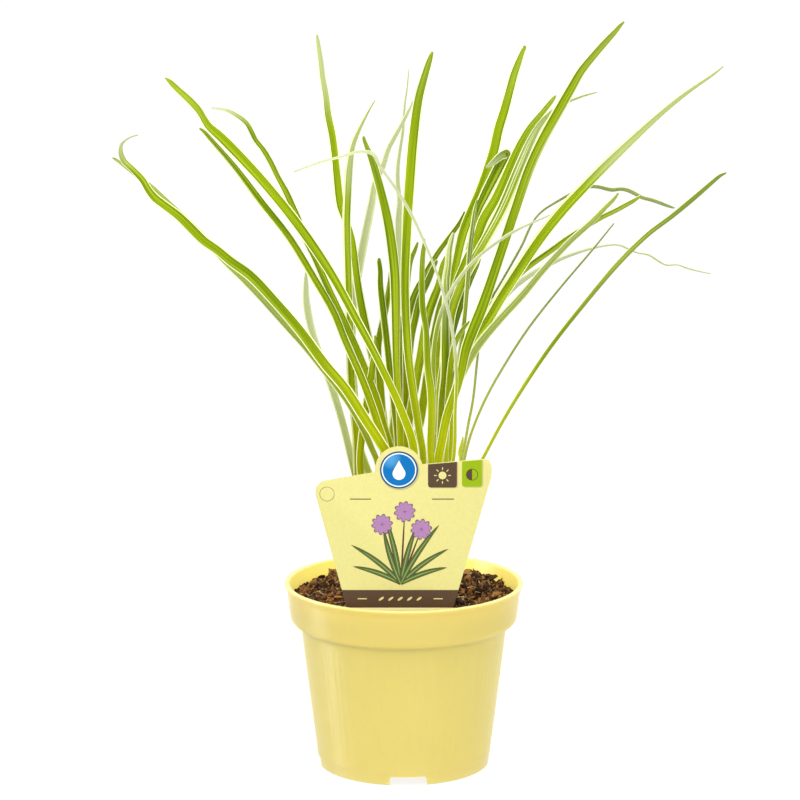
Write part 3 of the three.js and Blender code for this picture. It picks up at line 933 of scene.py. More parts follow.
def card_outline():
    outline = corners((23.9, 91), (42, 156))
    curve_to(outline, Vector((44, 166.5)), Vector((37, 165.4)))
    outline.append(BADGE + Vector((0.97, 0.24)) * BADGE_RIM)
    outline += arc(BADGE, BADGE_RIM, 15, 185, 40)
    outline.append(Vector((-37, 155)))
    curve_to(outline, Vector((-44, 154)), Vector((-42.5, 147)))
    outline.append(Vector((-27.7, 91)))
    outline += [Vector((STAKE_MIDDLE - half, up)) for up, half in STAKE]
    outline.append(Vector((STAKE_MIDDLE, STAKE_TIP)))
    outline += [Vector((STAKE_MIDDLE + half, up)) for up, half in reversed(STAKE)]
    return outline


def flat_piece(outlines, front, thickness, bevel=0.0):
    """A sheet cut to closed outlines (across, up), upright, with its face towards the front."""
    curve = bpy.data.curves.new("sheet", "CURVE")
    curve.dimensions = "2D"
    curve.fill_mode = "BOTH"
    curve.extrude = (thickness / 2 - bevel) * MM
    curve.bevel_depth = bevel * MM
    curve.bevel_resolution = 2
    curve.offset = -bevel * MM
    for outline in outlines:
        spline = curve.splines.new("POLY")
        spline.points.add(len(outline) - 1)
        for point, place in zip(spline.points, outline):
            point.co = (place.x * MM, place.y * MM, 0, 1)
        spline.use_cyclic_u = True
    sheet = bpy.data.objects.new("sheet", curve)
    bpy.context.scene.collection.objects.link(sheet)
    pick(sheet)
    bpy.ops.object.convert(target="MESH")
    sheet = bpy.context.object
    edit(sheet)
    bpy.ops.mesh.remove_doubles(threshold=0.001 * MM)
    bpy.ops.mesh.normals_make_consistent(inside=False)
    close_edit()
    sheet.data.transform(Matrix.Rotation(math.pi / 2, 4, "X"))
    sheet.data.transform(Matrix.Translation(Vector((0, front + thickness / 2, 0)) * MM))
    return sheet


class MakeCard(bpy.types.Operator):
    """Cuts the card with its stake"""

    bl_idname = "garlic_chives.make_card"
    bl_label = "Make the card"

    def execute(self, context):
        settings = context.scene.chives_card
        piece = flat_piece([card_outline()], CARD_FRONT, CARD_THICKNESS, 0.12)
        smooth(piece, 40)
        piece.data.materials.append(ink("card_stock", settings.colour, 0.42))
        settle(piece, "plant_card", ["label"])
        return {"FINISHED"}


def blade_outline(degrees, length, width, bend):
    """A printed leaf of the tuft: a pointed outline round a line that bends sideways."""
    left, right = [], []
    steps = 14
    heading = polar(1, 90 - degrees).xy
    side = Vector((heading.y, -heading.x))
    for step in range(steps + 1):
        share = step / steps
        middle = TUFT_FOOT + heading * length * share + side * bend * share * share
        half = width / 2 * math.sin(math.pi * min(1, 0.12 + 0.88 * share)) ** 0.6
        left.append(middle - side * half)
        right.append(middle + side * half)
    return right + left[::-1]


def disc(centre, radius, steps=28):
    return arc(centre, radius, 0, 360 - 360 / steps, steps - 1)


def oval(centre, long, short, degrees):
    heading = polar(1, degrees).xy
    side = Vector((-heading.y, heading.x))
    ring = disc(Vector((0, 0)), 1, 16)
    return [centre + heading * long * point.x + side * short * point.y for point in ring]


def bar(left, right, up, thickness):
    low, high = up - thickness / 2, up + thickness / 2
    return corners((left, low), (right, low), (right, high), (left, high))


def tab(left, right, low, high_left, high_right, corner=1.6):
    """A tab that hangs from the card's top edge, with rounded lower corners."""
    outline = corners((right, high_right), (left, high_left), (left, low + corner))
    curve_to(outline, Vector((left, low)), Vector((left + corner, low)))
    outline.append(Vector((right - corner, low)))
    curve_to(outline, Vector((right, low)), Vector((right, low + corner)))
    return outline


def drop_outline(centre, size):
    """A water drop: a round foot and a point on top."""
    round_part = arc(centre, size, 150, 390, 24)
    return [centre + Vector((0, size * 2.1)), *round_part]


TUFT_FOOT = Vector((-1.5, 103.5))
TUFT_LEAVES = (
    (-58, 24, -5), (-40, 30, -6), (-24, 27, 3), (-8, 35, -3), (9, 29, 3), (24, 34, 5), (41, 28, 6),
    (58, 23, 5))
FLOWER_STEMS = ((-17, 31), (3, 36), (20, 29))


def flower_head(centre, outer):
    """Petals of one printed flower head as ovals in a ring."""
    turns = [9 + 360 * petal / PETALS for petal in range(PETALS)]
    return [oval(centre + polar(outer * 0.58, turn).xy, outer * 0.5, outer * 0.26, turn) for turn in turns]


def card_inks(settings):
    """Every printed shape, and a strip of painted light at the card's foot, as (ink, level above the card,
    outlines).
    """
    inks = {
        "ink_cream": settings.colour, "ink_brown": settings.band_colour, "ink_blue": settings.badge_colour,
        "ink_shade": scaled(settings.colour, 0.72),
        # painted_light_foot_strip is not print: it is a lighter cream painted on the card below the band,
        # where the lip casts its shade.
        "ink_white": srgb(222, 226, 226), "painted_light_foot_strip": srgb(248, 240, 178),
        "ink_lime": srgb(136, 164, 0), "ink_leaf": srgb(74, 98, 40), "ink_sheen": srgb(128, 150, 86),
        "ink_lilac": srgb(160, 118, 160), "ink_violet": srgb(98, 60, 98),
    }
    shapes = [
        ("ink_brown", 1, [corners((-27.83, 91.5), (24.04, 91.5), (26.52, 100.4), (-30.18, 100.4))]),
        # Painted light: the strip of card below the band, in the lip's shade, is made lighter.
        ("painted_light_foot_strip", 1, [corners((-26.8, 87), (22.8, 87), (24.04, 91.5), (-27.83, 91.5))]),
        ("ink_cream", 2, [bar(-22.5, -18, 96, 0.5), bar(14.4, 18.9, 96, 0.5)]),
        ("ink_shade", 1, [disc(BADGE + Vector((0.4, -0.5)), BADGE_DISC + 0.35, 60)]),
        ("ink_blue", 2, [disc(BADGE, BADGE_DISC, 60)]),
        ("ink_white", 3, [disc(BADGE, BADGE_RING, 60)]),
        ("ink_sky", 4, [disc(BADGE, BADGE_RING - 0.6, 60)]),
        ("ink_white", 5, [drop_outline(BADGE + Vector((0, -1.8)), 3.1)]),
        ("ink_shade", 1, [tab(12.2, 26.2, 151.0, 162.8, 163.9), tab(28.6, 38.3, 151.4, 164.0, 164.9)]),
        ("ink_brown", 2, [tab(11.6, 25.6, 151.4, 162.9, 164.1)]),
        ("ink_lime", 2, [tab(28.0, 37.7, 151.8, 164.3, 165.1)]),
        ("ink_brown", 1, [bar(-26.1, -15.9, 145.7, 0.5), bar(13.5, 24.2, 145.7, 0.5)]),
        ("ink_brown", 1, [disc(Vector((-37.2, 148.2)), 3.6, 48), disc(Vector((-37.2, 148.2)), 3.4, 48)]),
    ]
    seeds = [oval(Vector((-1.8 + 4.6 * step, 96)), 1.5, 0.55, 35) for step in range(-2, 3)]
    shapes.append(("ink_cream", 2, seeds))
    sun = Vector((18.6, 157.4))
    rays = [oval(sun + polar(3.4, 45 * ray).xy, 0.75, 0.24, 45 * ray) for ray in range(8)]
    shapes.append(("ink_cream", 3, [disc(sun, 1.9), *rays]))
    shadow = Vector((32.9, 157.8))
    shapes.append(("ink_brown", 3, [disc(shadow, 2.9, 40), disc(shadow, 2.6, 40)]))
    shapes.append(("ink_brown", 3, [arc(shadow, 2.7, 90, 270, 20)]))
    for index, (degrees, length, bend) in enumerate(TUFT_LEAVES):
        level = 4 + 3 * (index % 3)
        shapes += [
            ("ink_brown", level, [blade_outline(degrees, length + 0.4, 2.7, bend)]),
            ("ink_leaf", level + 1, [blade_outline(degrees, length, 2.0, bend)]),
            ("ink_sheen", level + 2, [blade_outline(degrees, length * 0.82, 0.5, bend * 0.67)]),
        ]
    for index, (degrees, length) in enumerate(FLOWER_STEMS):
        level = 13 + 4 * index
        head = TUFT_FOOT + polar(length, 90 - degrees).xy
        shapes += [
            ("ink_brown", 2, [blade_outline(degrees, length, 0.9, 0)]),
            ("ink_violet", level, [disc(head, 2.4)]),
        ]
        for colour, outer, lift in (("ink_violet", 4.9, 0), ("ink_lilac", 4.5, 2)):
            for petal, outline in enumerate(flower_head(head, outer)):
                shapes.append((colour, level + lift + petal % 2, [outline]))
    return inks, shapes


class PrintCard(bpy.types.Operator):
    """Prints the card: foot band, badge, tabs, lines and a plain tuft of leaves with round flower heads, and
    paints light on the card's foot below the band
    """

    bl_idname = "garlic_chives.print_card"
    bl_label = "Print the card"

    def execute(self, context):
        settings = context.scene.chives_card
        inks, shapes = card_inks(settings)
        materials = {name: ink(name, colour) for name, colour in inks.items()}
        materials["ink_sky"] = badge_ink("ink_sky", settings.badge_sky, settings.badge_light)
        films = []
        for name, level, outlines in shapes:
            film = flat_piece(outlines, CARD_FRONT - INK_FILM * level, INK_FILM * level + 0.05)
            film.data.materials.append(materials[name])
            films.append(film)
        piece = join(films, "card_print")
        settle(piece, "card_print")
        return {"FINISHED"}


# Leaves

# How a leaf is coloured: its green from dark to bright, the cream margins at its left and right as shares
# of its width, how far it is striped, how washed out it is at its root and tip, and where the tip starts.
LOOKS = {
    "bright": (0.8, 0.1, 0.11, 0, 0, 0.05, 0.9),
    "bright_striped": (0.7, 0.12, 0.1, 0.5, 0, 0.1, 0.9),
    "mid": (0.6, 0.1, 0.12, 0, 0, 0.05, 0.9),
    "dark": (0.42, 0.12, 0.12, 0, 0, 0, 0.9),
    "folded": (0.3, 0.12, 0.12, 0, 0, 0.7, 0.96),
    "grey": (0.62, 0.09, 0.09, 0, 0.15, 0.25, 0.5),
    "thin": (0.35, 0.01, 0.01, 0, 0.2, 0.3, 0.5),
    "plain": (0.55, 0.01, 0.01, 0, 0, 0.1, 0.6),
    "light": (0.8, 0.14, 0.2, 0.3, 0.3, 0.25, 0.5),
    "pale": (0.95, 0.16, 0.16, 0.2, 0.35, 0.8, 0.3),
    "straw": (0.45, 0.14, 0.14, 0.2, 0.1, 0.75, 0.5),
    "white": (0.7, 0.2, 0.16, 0.2, 0, 0.95, 0.4),
    "pale_end": (0.7, 0.16, 0.16, 0.2, 0, 0.95, 0.62),
    "ghost_tip": (0.62, 0.1, 0.12, 0, 0, 0.9, 0.95),
    "pale_tip": (0.8, 0.16, 0.12, 0, 0, 0.55, 0.86),
    "soft_left": (0.8, 0.24, 0.08, 0, 0, 0.45, 0.72),
    "half_white": (0.8, 0.28, 0.1, 0.1, 0, 0.5, 0.8),
    "striped": (0.75, 0.12, 0.14, 0.8, 0, 0.35, 0.78),
    "dark_striped": (0.5, 0.16, 0.15, 0.6, 0, 0.15, 0.7),
}

# Where each shoot stands in the soil, and its leaves: the look, how far the leaf is turned away from the
# front in degrees at its root and tip, and its route as (across, up, back, width) seen from the camera.
SHOOTS = {
    "front_left": ((-3, -23), (
        ("bright", (25, 20), ((5, 159, -24, 4.6), (-0.5, 178.5, -27, 4.2), (-11.5, 203, -31, 4),
            (-24, 227, -34, 4.4), (-35.5, 248.5, -37, 4.7), (-50, 270.5, -40, 5.1), (-69.5, 295, -43, 5.1),
            (-89, 316, -45, 5), (-95, 321.5, -45, 4.2), (-97.5, 325.5, -45, 3.5), (-99.5, 329, -45, 3.7),
            (-104, 334, -45, 3.7), (-110, 339.5, -44, 3.2), (-113.5, 343, -44, 2.6),
            (-116, 345, -44, 0.7))),
        ("ghost_tip", (20, 25), ((-8, 157, -26, 5.3), (-11.5, 163.5, -28, 5.4), (-19.5, 176.5, -31, 5.3),
            (-29, 191.5, -36, 5.2), (-39, 203.5, -40, 5.3), (-51, 220, -45, 5.3), (-63.5, 235, -50, 5.1),
            (-75.5, 248, -55, 5.2), (-85, 255, -59, 4.9), (-91.5, 260.5, -61, 4.7), (-98, 265, -64, 4.9),
            (-103, 270, -66, 5.1), (-110.5, 277.5, -69, 4.7), (-117, 282.5, -71, 4.4),
            (-122, 286.5, -72, 4.4), (-125, 290.5, -73, 3.8), (-127.5, 295, -74, 3.5), (-133, 301, -76, 3),
            (-136.5, 304.5, -76, 3), (-138, 308.5, -77, 2.5), (-137.5, 312.5, -77, 1.5),
            (-135.5, 314.5, -77, 1), (-133, 316, -76, 0.7), (-129.5, 317, -76, 0.6))),
    )),
    "front_right": ((12, -19), (
        ("mid", (45, 10), ((14, 152, -24, 3.7), (13.5, 162.5, -26, 3.7), (14, 178, -30, 4),
            (13.5, 190.5, -33, 4), (12, 200.5, -35, 3.7), (11.5, 210.5, -38, 3.5), (11, 220.5, -41, 3),
            (9.5, 230.5, -45, 3.1), (9, 240.5, -48, 3), (9, 250.5, -52, 2.8), (9.5, 259.5, -55, 2.5),
            (10, 263.5, -56, 1.8), (10, 266, -57, 1))),
        ("bright_striped", (0, 15), ((17, 154.5, -21, 4.6), (19, 165.5, -22, 4.6), (21.5, 178, -23, 4.6),
            (25.5, 189.5, -25, 4.6), (28.5, 200.5, -26, 4.7), (30.5, 210.5, -27, 5.3),
            (34, 220.5, -29, 5.8), (38, 230.5, -30, 5.9), (41.5, 240.5, -31, 5.5), (48, 260.5, -34, 5.2),
            (54.5, 280.5, -37, 5.1), (61, 300, -40, 5.3), (67.5, 314.5, -43, 5.3), (76.5, 331, -47, 5.3),
            (81.5, 340, -49, 4.9), (86, 348, -51, 4.3), (91.5, 355, -53, 3.9), (97.5, 362, -56, 3.5),
            (102.5, 367.5, -59, 2.7), (105, 370.5, -60, 1.8), (106.5, 372, -61, 0.9))),
        ("white", (20, 20), ((24.5, 154, -22, 1.8), (25.5, 180.5, -29, 1.7), (26, 197, -34, 1.8),
            (25, 213, -40, 1.7), (23, 226, -44, 1.6), (21.5, 232.5, -47, 1.5), (17, 247, -52, 1.2),
            (10, 264.5, -57, 1.3), (2.5, 280.5, -61, 1.5), (-6, 294, -65, 1.3), (-10, 299.5, -66, 1.3),
            (-12.5, 303.5, -67, 1.5), (-14, 307, -67, 1.7), (-16, 308.5, -67, 1.8), (-19, 309, -68, 1.8),
            (-22.5, 309, -68, 1.5), (-29, 307, -69, 1.3), (-38.5, 304.5, -71, 1.1), (-46, 302, -73, 1),
            (-54, 299, -75, 0.6))),
        ("pale_end", (30, 40), ((15, 159, -19, 2.4), (15, 185.5, -20, 2.4), (14.5, 205.5, -24, 2.4),
            (17, 223.5, -30, 2.2), (21, 235.5, -35, 1.9), (28, 247.5, -39, 1.7), (37.5, 258, -43, 1.5),
            (50, 267, -47, 1.5), (56, 270.5, -49, 1.2), (63.5, 274, -51, 0.9), (71.5, 277.5, -54, 0.6))),
    )),
    "left": ((-12, -12), (
        ("mid", (40, 40), ((-9, 159, -13, 4.3), (-13.5, 175.5, -15, 4.3), (-20.5, 195.5, -18, 4),
            (-29, 215.5, -20, 3.9), (-34.5, 229.5, -22, 3.9), (-44, 246.5, -24, 3.9),
            (-56, 266.5, -26, 3.8), (-69.5, 284, -28, 3.7), (-82, 301, -30, 3), (-93.5, 314.5, -32, 2.4),
            (-97.5, 319, -33, 1.8), (-99.5, 320.5, -33, 1))),
        ("grey", (55, 45), ((-13, 153, -13, 2.9), (-16, 161, -13, 3.2), (-19.5, 169, -15, 3.2),
            (-28, 184.5, -18, 2.9), (-40.5, 201.5, -21, 2.9), (-49, 212.5, -23, 2.9), (-56, 220.5, -25, 3),
            (-70, 236.5, -30, 3.2), (-78, 245, -32, 3.2), (-89.5, 256.5, -36, 2.9),
            (-98.5, 267.5, -39, 2.9), (-105, 274, -42, 3.2), (-118.5, 286.5, -47, 3.5),
            (-124, 292, -49, 2.9), (-129, 296, -51, 2.1), (-139, 304, -56, 1.7), (-140.5, 305, -56, 1.5),
            (-142, 306, -57, 0.7))),
    )),
    "middle": ((0, -12), (
        ("mid", (20, 15), ((-1.5, 160, -13, 3.5), (-2, 178, -14, 3.5), (-3.5, 200.5, -15, 3.7),
            (-4, 235.5, -19, 5), (-4.5, 250.5, -20, 5.4), (-7, 270.5, -22, 5.1), (-10, 285, -24, 4.6),
            (-15.5, 305, -26, 3.8), (-17.5, 310, -27, 2.7), (-18.5, 312.5, -27, 2.2),
            (-19.5, 315.5, -28, 1.7), (-19.5, 316.5, -28, 1))),
        ("bright", (20, 20), ((9.5, 154, -12, 3.7), (7.5, 170.5, -12, 4), (4.5, 190.5, -13, 4.3),
            (2, 210.5, -13, 4.4), (0.5, 243, -12, 4.7), (1.5, 270.5, -11, 5.1), (3, 295, -10, 5.4),
            (4.5, 314.5, -9, 5.3), (7, 334, -8, 4.8), (10, 345.5, -7, 4), (12.5, 353.5, -6, 3),
            (13.5, 356.5, -6, 1.8), (14, 357.5, -6, 1))),
        ("dark", (50, 35), ((-3, 160, -10, 3.2), (-3.5, 170.5, -10, 3.4), (-7.5, 205.5, -10, 3.6),
            (-10.5, 233, -12, 3.6), (-11.5, 243, -14, 3.2), (-11.5, 250.5, -15, 2.7), (-12, 255, -16, 2.2),
            (-12, 256.5, -16, 1.2))),
    )),
    "right": ((19, -10), (
        ("plain", (55, 60), ((39.5, 156, -21, 1.5), (48, 172.5, -26, 1.6), (58, 189.5, -33, 1.7),
            (72, 211, -41, 1.9), (86.5, 230.5, -50, 2), (105, 253, -60, 2.3), (120, 268, -68, 2.2),
            (131, 276.5, -72, 2.2), (141, 285, -77, 2.3), (151, 294, -82, 1.9), (154.5, 297, -83, 1.6),
            (157.5, 298.5, -83, 0.7))),
        ("light", (40, 45), ((18.5, 155, -12, 4), (20, 165.5, -13, 4), (23, 183, -15, 4),
            (30, 200.5, -16, 4), (36.5, 212, -17, 4.3), (47, 225, -19, 3.9), (58.5, 238, -21, 3.8),
            (68.5, 250.5, -22, 3.4), (81, 264, -24, 3), (92.5, 274.5, -26, 2.8), (99.5, 282, -28, 2.4),
            (102.5, 285, -28, 2.1), (105, 288.5, -29, 1))),
        ("thin", (40, 60), ((29.5, 152, -13, 1.3), (31.5, 161.5, -14, 1.3), (34.5, 171.5, -16, 1.2),
            (41, 187, -19, 1.2), (50.5, 204, -23, 1.1), (62, 222, -28, 1.1), (76.5, 241, -33, 1),
            (93, 261, -40, 0.9), (103, 273.5, -44, 0.6))),
        ("bright", (40, 30), ((21, 157.5, -9, 2.9), (22, 185.5, -9, 2.9), (24, 208, -10, 2.9),
            (26, 215.5, -10, 2.6), (29.5, 221.5, -11, 2.1), (32.5, 225, -12, 1))),
    )),
    "outer_left": ((-17, -2), (
        ("pale", (40, 30), ((-24, 146, -1, 3.3), (-26, 155, 0, 3.6), (-30.5, 175, 5, 3.8),
            (-36, 193, 10, 3.8), (-44, 215.5, 18, 3.6), (-47, 228, 24, 4), (-48, 236.5, 28, 3.6),
            (-48, 243, 32, 2.9), (-48, 247.5, 34, 1.8), (-48, 249.5, 35, 1))),
        ("half_white", (40, 30), ((-23, 147.5, -4, 4), (-23.5, 165.5, -4, 4.2), (-26, 193, -5, 4.3),
            (-26.5, 215.5, -4, 4.3), (-27.5, 245.5, -3, 4.2), (-28, 275.5, 0, 4.2), (-27.5, 287.5, 1, 4.2),
            (-27, 297.5, 3, 4.2), (-26, 306, 4, 3.4), (-25, 311.5, 5, 2.8), (-23, 317, 6, 2.3),
            (-17, 329, 9, 1.1), (-14, 334, 10, 0.6))),
        ("bright", (40, 30), ((-21.5, 154.5, -6, 3.7), (-20.5, 168, -6, 3.7), (-19, 179, -6, 4),
            (-17, 190.5, -6, 4.3), (-15, 205.5, -5, 3.2), (-14, 213, -4, 1.8), (-14, 218, -3, 1))),
        ("ghost_tip", (40, 45), ((-6, 157, -4, 4), (-9.5, 170.5, -5, 4.3), (-13.5, 185.5, -6, 4.3),
            (-19, 200.5, -7, 4), (-25, 215.5, -8, 3.8), (-37.5, 242.5, -11, 3.7), (-44, 257.5, -13, 3.6),
            (-48.5, 266.5, -14, 3.5), (-52, 276.5, -15, 3.5), (-54.5, 282, -15, 3.6),
            (-57.5, 289, -16, 3.4), (-61.5, 296.5, -16, 2.9), (-65, 304, -17, 2.9), (-68.5, 310, -18, 2.7),
            (-72, 314.5, -18, 2.5), (-74, 318.5, -19, 2.6), (-76.5, 323, -19, 2.5), (-81.5, 327, -19, 2.3),
            (-86.5, 329.5, -19, 1.6), (-93.5, 330.5, -19, 0.7))),
    )),
    "inner": ((2, 0), (
        ("dark", (45, 30), ((-1.5, 160, -3, 3.5), (-1, 170.5, -1, 3.5), (-1, 190.5, 3, 3.5),
            (-1, 210.5, 11, 2.9), (-1, 218, 14, 2.4), (-1.5, 223.5, 14, 1.8), (-1.5, 227.5, 14, 1))),
        ("mid", (45, 35), ((1, 165.5, 0, 3.5), (1, 195.5, 2, 3.5), (1, 225.5, 6, 3.5), (2, 245.5, 9, 3.2),
            (3.5, 255, 11, 2.6), (6, 261.5, 13, 2), (7, 264.5, 14, 1))),
        ("mid", (45, 40), ((3, 160, 1, 4), (2.5, 195.5, 5, 4), (3.5, 215.5, 8, 3.7), (5.5, 225.5, 10, 3.7),
            (8, 236.5, 12, 3.7), (12, 245.5, 15, 3.6), (14.5, 251.5, 17, 2.9), (16.5, 255.5, 19, 1.3))),
        ("bright", (30, 15), ((0.5, 161, -1, 4.3), (4.5, 185.5, 0, 4.6), (8.5, 208, 1, 4.6),
            (12, 228, 3, 4.8), (15, 237, 3, 4.6), (17, 242.5, 3, 4), (18, 248, 4, 3.2), (19, 253, 4, 2.9),
            (20.5, 257.5, 4, 1.3))),
    )),
    "inner_right": ((13, -1), (
        ("soft_left", (0, 0), ((14, 154, -3, 4.6), (16, 165.5, -3, 4.6), (19, 178, -3, 4.6),
            (23, 190.5, -3, 4.6), (27.5, 204, -2, 4.8), (32.5, 212.5, -1, 5.1), (42, 227, 1, 5.6),
            (46.5, 235, 2, 5.8), (53, 245.5, 4, 5.9), (66, 265.5, 8, 5.8), (76, 278.5, 10, 5.8),
            (86, 289.5, 13, 5.4), (98.5, 302.5, 18, 5.2), (113, 316.5, 23, 4.1), (125.5, 328, 28, 3),
            (134.5, 335.5, 32, 2.5), (142, 341, 35, 1.9), (150, 346.5, 38, 1.4), (155, 350.5, 40, 0.7))),
        ("striped", (0, 0), ((13.5, 157, -4, 4), (15, 170.5, -4, 4), (19.5, 203, -5, 4), (22, 218, -6, 4.6),
            (23.5, 229.5, -7, 4.8), (29, 245, -8, 4.6), (37, 260, -9, 5.1), (45.5, 275.5, -11, 5.5),
            (50, 285, -12, 5.8), (54, 295, -13, 5.6), (58, 305, -15, 5.1), (62, 314.5, -16, 4.3),
            (66.5, 322.5, -17, 3.1), (71.5, 328, -18, 2.2), (76.5, 331.5, -19, 1.6),
            (80.5, 333.5, -19, 1.3), (87, 336, -20, 1.1), (94, 338, -21, 0.6))),
        ("dark_striped", (35, 30), ((18, 165.5, -5, 3.5), (19, 185.5, -6, 4), (20.5, 198, -7, 4.7),
            (20.5, 210.5, -8, 4.7), (20.5, 225.5, -9, 4.3), (21, 238, -11, 4), (21, 245.5, -12, 4.4),
            (22, 253, -13, 3.7), (22.5, 260.5, -14, 3.2), (23.5, 265.5, -15, 2.6), (24.5, 269, -16, 1.3))),
        ("dark_striped", (40, 30), ((23, 155, -5, 3.2), (24.5, 178, -6, 3.1), (25.5, 190.5, -7, 2.9),
            (27, 203, -7, 2.4), (29.5, 223, -8, 2.3), (31.5, 246.5, -10, 2.4), (32.5, 260.5, -10, 2.7),
            (34, 273, -11, 2.4), (35, 280.5, -12, 1.8), (36, 285.5, -12, 0.7))),
    )),
    "rear_left": ((-8, 7), (
        ("pale_tip", (35, 25), ((-9, 165.5, 8, 4.3), (-14, 200.5, 12, 4.6), (-17.5, 215.5, 15, 4.6),
            (-21.5, 235.5, 18, 4.6), (-23, 245.5, 20, 4.3), (-25.5, 265.5, 25, 4), (-28.5, 275.5, 28, 4.3),
            (-31, 282.5, 29, 4.6), (-32.5, 295, 33, 4.6), (-33.5, 305, 36, 4.3), (-35, 317, 40, 4.3),
            (-37, 327, 43, 4.1), (-38, 336.5, 46, 3.6), (-39.5, 345.5, 49, 3.2), (-40, 351, 51, 3),
            (-41.5, 362, 55, 2.2), (-42, 366, 56, 0.9))),
        ("pale", (40, 35), ((-23, 165.5, 13, 4), (-24.5, 185.5, 17, 4), (-25.5, 210.5, 23, 4),
            (-25, 230.5, 29, 4), (-23.5, 243, 33, 4.3), (-19.5, 265.5, 41, 4.3), (-15.5, 285, 48, 4),
            (-14, 293.5, 51, 3.5), (-10, 302, 55, 3.1), (-7.5, 310, 58, 2.7), (-3.5, 317.5, 61, 2.4),
            (0, 324, 64, 2), (2.5, 329, 66, 1.6), (4.5, 333.5, 68, 0.7))),
        ("dark", (40, 30), ((-10.5, 170.5, 5, 3.7), (-11, 183, 5, 4.3), (-12, 200.5, 6, 4),
            (-12.5, 213, 7, 3.7), (-8.5, 233, 9, 3.5), (-7.5, 240.5, 10, 2.9), (-7, 245.5, 11, 2.1),
            (-7, 250, 11, 0.9))),
    )),
    "rear_right": ((16, 9), (
        ("thin", (50, 55), ((28.5, 154, 8, 1.2), (32.5, 174.5, 10, 1.1), (34.5, 185, 11, 1),
            (37.5, 215, 14, 1.1), (39, 222, 15, 1.1), (43, 236, 17, 1.3), (47, 243, 18, 1),
            (53, 253.5, 19, 1.1), (58.5, 263.5, 21, 1.1), (62, 271.5, 23, 1), (65, 276.5, 24, 0.8),
            (68.5, 280, 25, 0.9), (74, 283.5, 26, 1), (80, 287, 27, 1.2), (86, 290, 29, 1.5),
            (91, 291.5, 30, 1.7), (95, 291.5, 31, 1.8), (99, 290.5, 32, 1.9), (102, 290, 33, 1.9),
            (106, 290.5, 34, 1.8), (109, 290, 34, 2), (112.5, 288.5, 35, 2), (116, 286.5, 36, 1.8),
            (121.5, 285, 37, 1.9), (129.5, 282, 39, 1.5), (132.5, 281, 40, 0.7))),
        ("white", (55, 50), ((21, 157, 10, 2.4), (22.5, 173, 12, 2.6), (25.5, 190.5, 15, 2.9),
            (29, 204.5, 17, 2.9), (36, 217.5, 20, 2.4), (42.5, 227.5, 22, 2.4), (50, 237, 25, 2.8),
            (54, 241.5, 26, 2.9), (59, 245.5, 28, 2.9), (65, 249.5, 30, 2.5), (73.5, 254, 33, 2),
            (80, 257, 35, 1.8), (88.5, 260, 37, 1.3), (96, 262, 40, 1), (103, 263, 42, 0.8),
            (106.5, 262.5, 44, 0.9), (110, 261, 45, 1.1), (114.5, 259, 46, 0.8), (120, 258, 48, 1),
            (124, 255.5, 50, 1.1), (128.5, 253, 51, 0.9), (134.5, 253, 53, 0.7), (138.5, 251.5, 54, 0.9),
            (146, 249.5, 57, 0.7), (151, 248.5, 58, 0.5))),
        ("bright", (45, 50), ((16.5, 157.5, 6, 4), (18.5, 175.5, 7, 4), (24, 195.5, 9, 3.7),
            (32.5, 215.5, 11, 3.7), (41.5, 230.5, 12, 3.5), (48.5, 239, 13, 3.2), (59, 250, 15, 3.1),
            (73, 260.5, 17, 3), (81, 266.5, 19, 2.8), (96, 276, 22, 2.5), (104, 280, 23, 2.5),
            (109.5, 283, 25, 2.4), (113, 285, 25, 2), (116, 287, 26, 1))),
        ("bright", (10, 10), ((16, 157, 8, 4), (17.5, 175.5, 10, 4), (19, 195.5, 12, 4), (21, 215.5, 15, 4),
            (24, 238, 18, 4), (29.5, 253, 21, 4.3), (35.5, 265.5, 23, 4.8), (39, 275.5, 25, 5.6),
            (44.5, 285, 28, 5.1), (49, 295, 31, 4.7), (55.5, 310, 35, 4.3), (61, 320, 38, 3.8),
            (67, 327.5, 41, 3.2), (72.5, 334.5, 43, 2.3), (74, 336.5, 44, 0.9))),
        ("dark", (40, 40), ((20, 170.5, 4, 3.5), (21.5, 195.5, 4, 3.5), (23, 213, 4, 3.5),
            (24.5, 221.5, 4, 4), (26.5, 229, 4, 4.3), (29, 236.5, 4, 4), (33, 246.5, 3, 3.2),
            (35.5, 252, 3, 2.9), (37.5, 256.5, 3, 1.3))),
    )),
    "back_left": ((-5, 18), (
        ("straw", (45, 45), ((-6, 157, 26, 3.5), (-3.5, 215.5, 48, 3.5), (-2.5, 253, 63, 3.2),
            (-2.5, 265.5, 69, 3.4), (-2.5, 275.5, 73, 3.6), (-2, 284, 77, 2.8), (-3, 296, 83, 2.4),
            (-2.5, 305, 87, 2), (-0.5, 318.5, 94, 1.7), (0, 325.5, 98, 1.4), (0.5, 332, 101, 1.1),
            (1.5, 339, 105, 0.9), (2.5, 349.5, 110, 0.5))),
        ("dark", (45, 40), ((-6, 165.5, 22, 3.5), (-4, 185.5, 26, 3.5), (-0.5, 208, 32, 3.5),
            (0.5, 218, 35, 3.7), (4.5, 236, 41, 4), (10, 247.5, 45, 3.5), (17, 259.5, 50, 2.9),
            (22.5, 267, 54, 2.7), (27.5, 274, 58, 2.2), (30, 279.5, 60, 1))),
        ("bright", (30, 30), ((-23, 149, 28, 4), (-24, 162.5, 44, 4), (-24.5, 173, 66, 3.5),
            (-25.5, 179.5, 88, 1))),
        ("mid", (20, 35), ((-3, 147, 30, 4), (-1, 167.5, 48, 4), (2, 183.5, 74, 4), (6, 189.5, 104, 1))),
    )),
    "back_right": ((8, 20), (
        ("bright", (10, 10), ((17, 160, 22, 4), (16, 185.5, 28, 4), (16.5, 213, 36, 4),
            (22, 235.5, 43, 4.3), (26, 255.5, 49, 4.6), (29.5, 270.5, 54, 5.3), (37.5, 290, 62, 5.6),
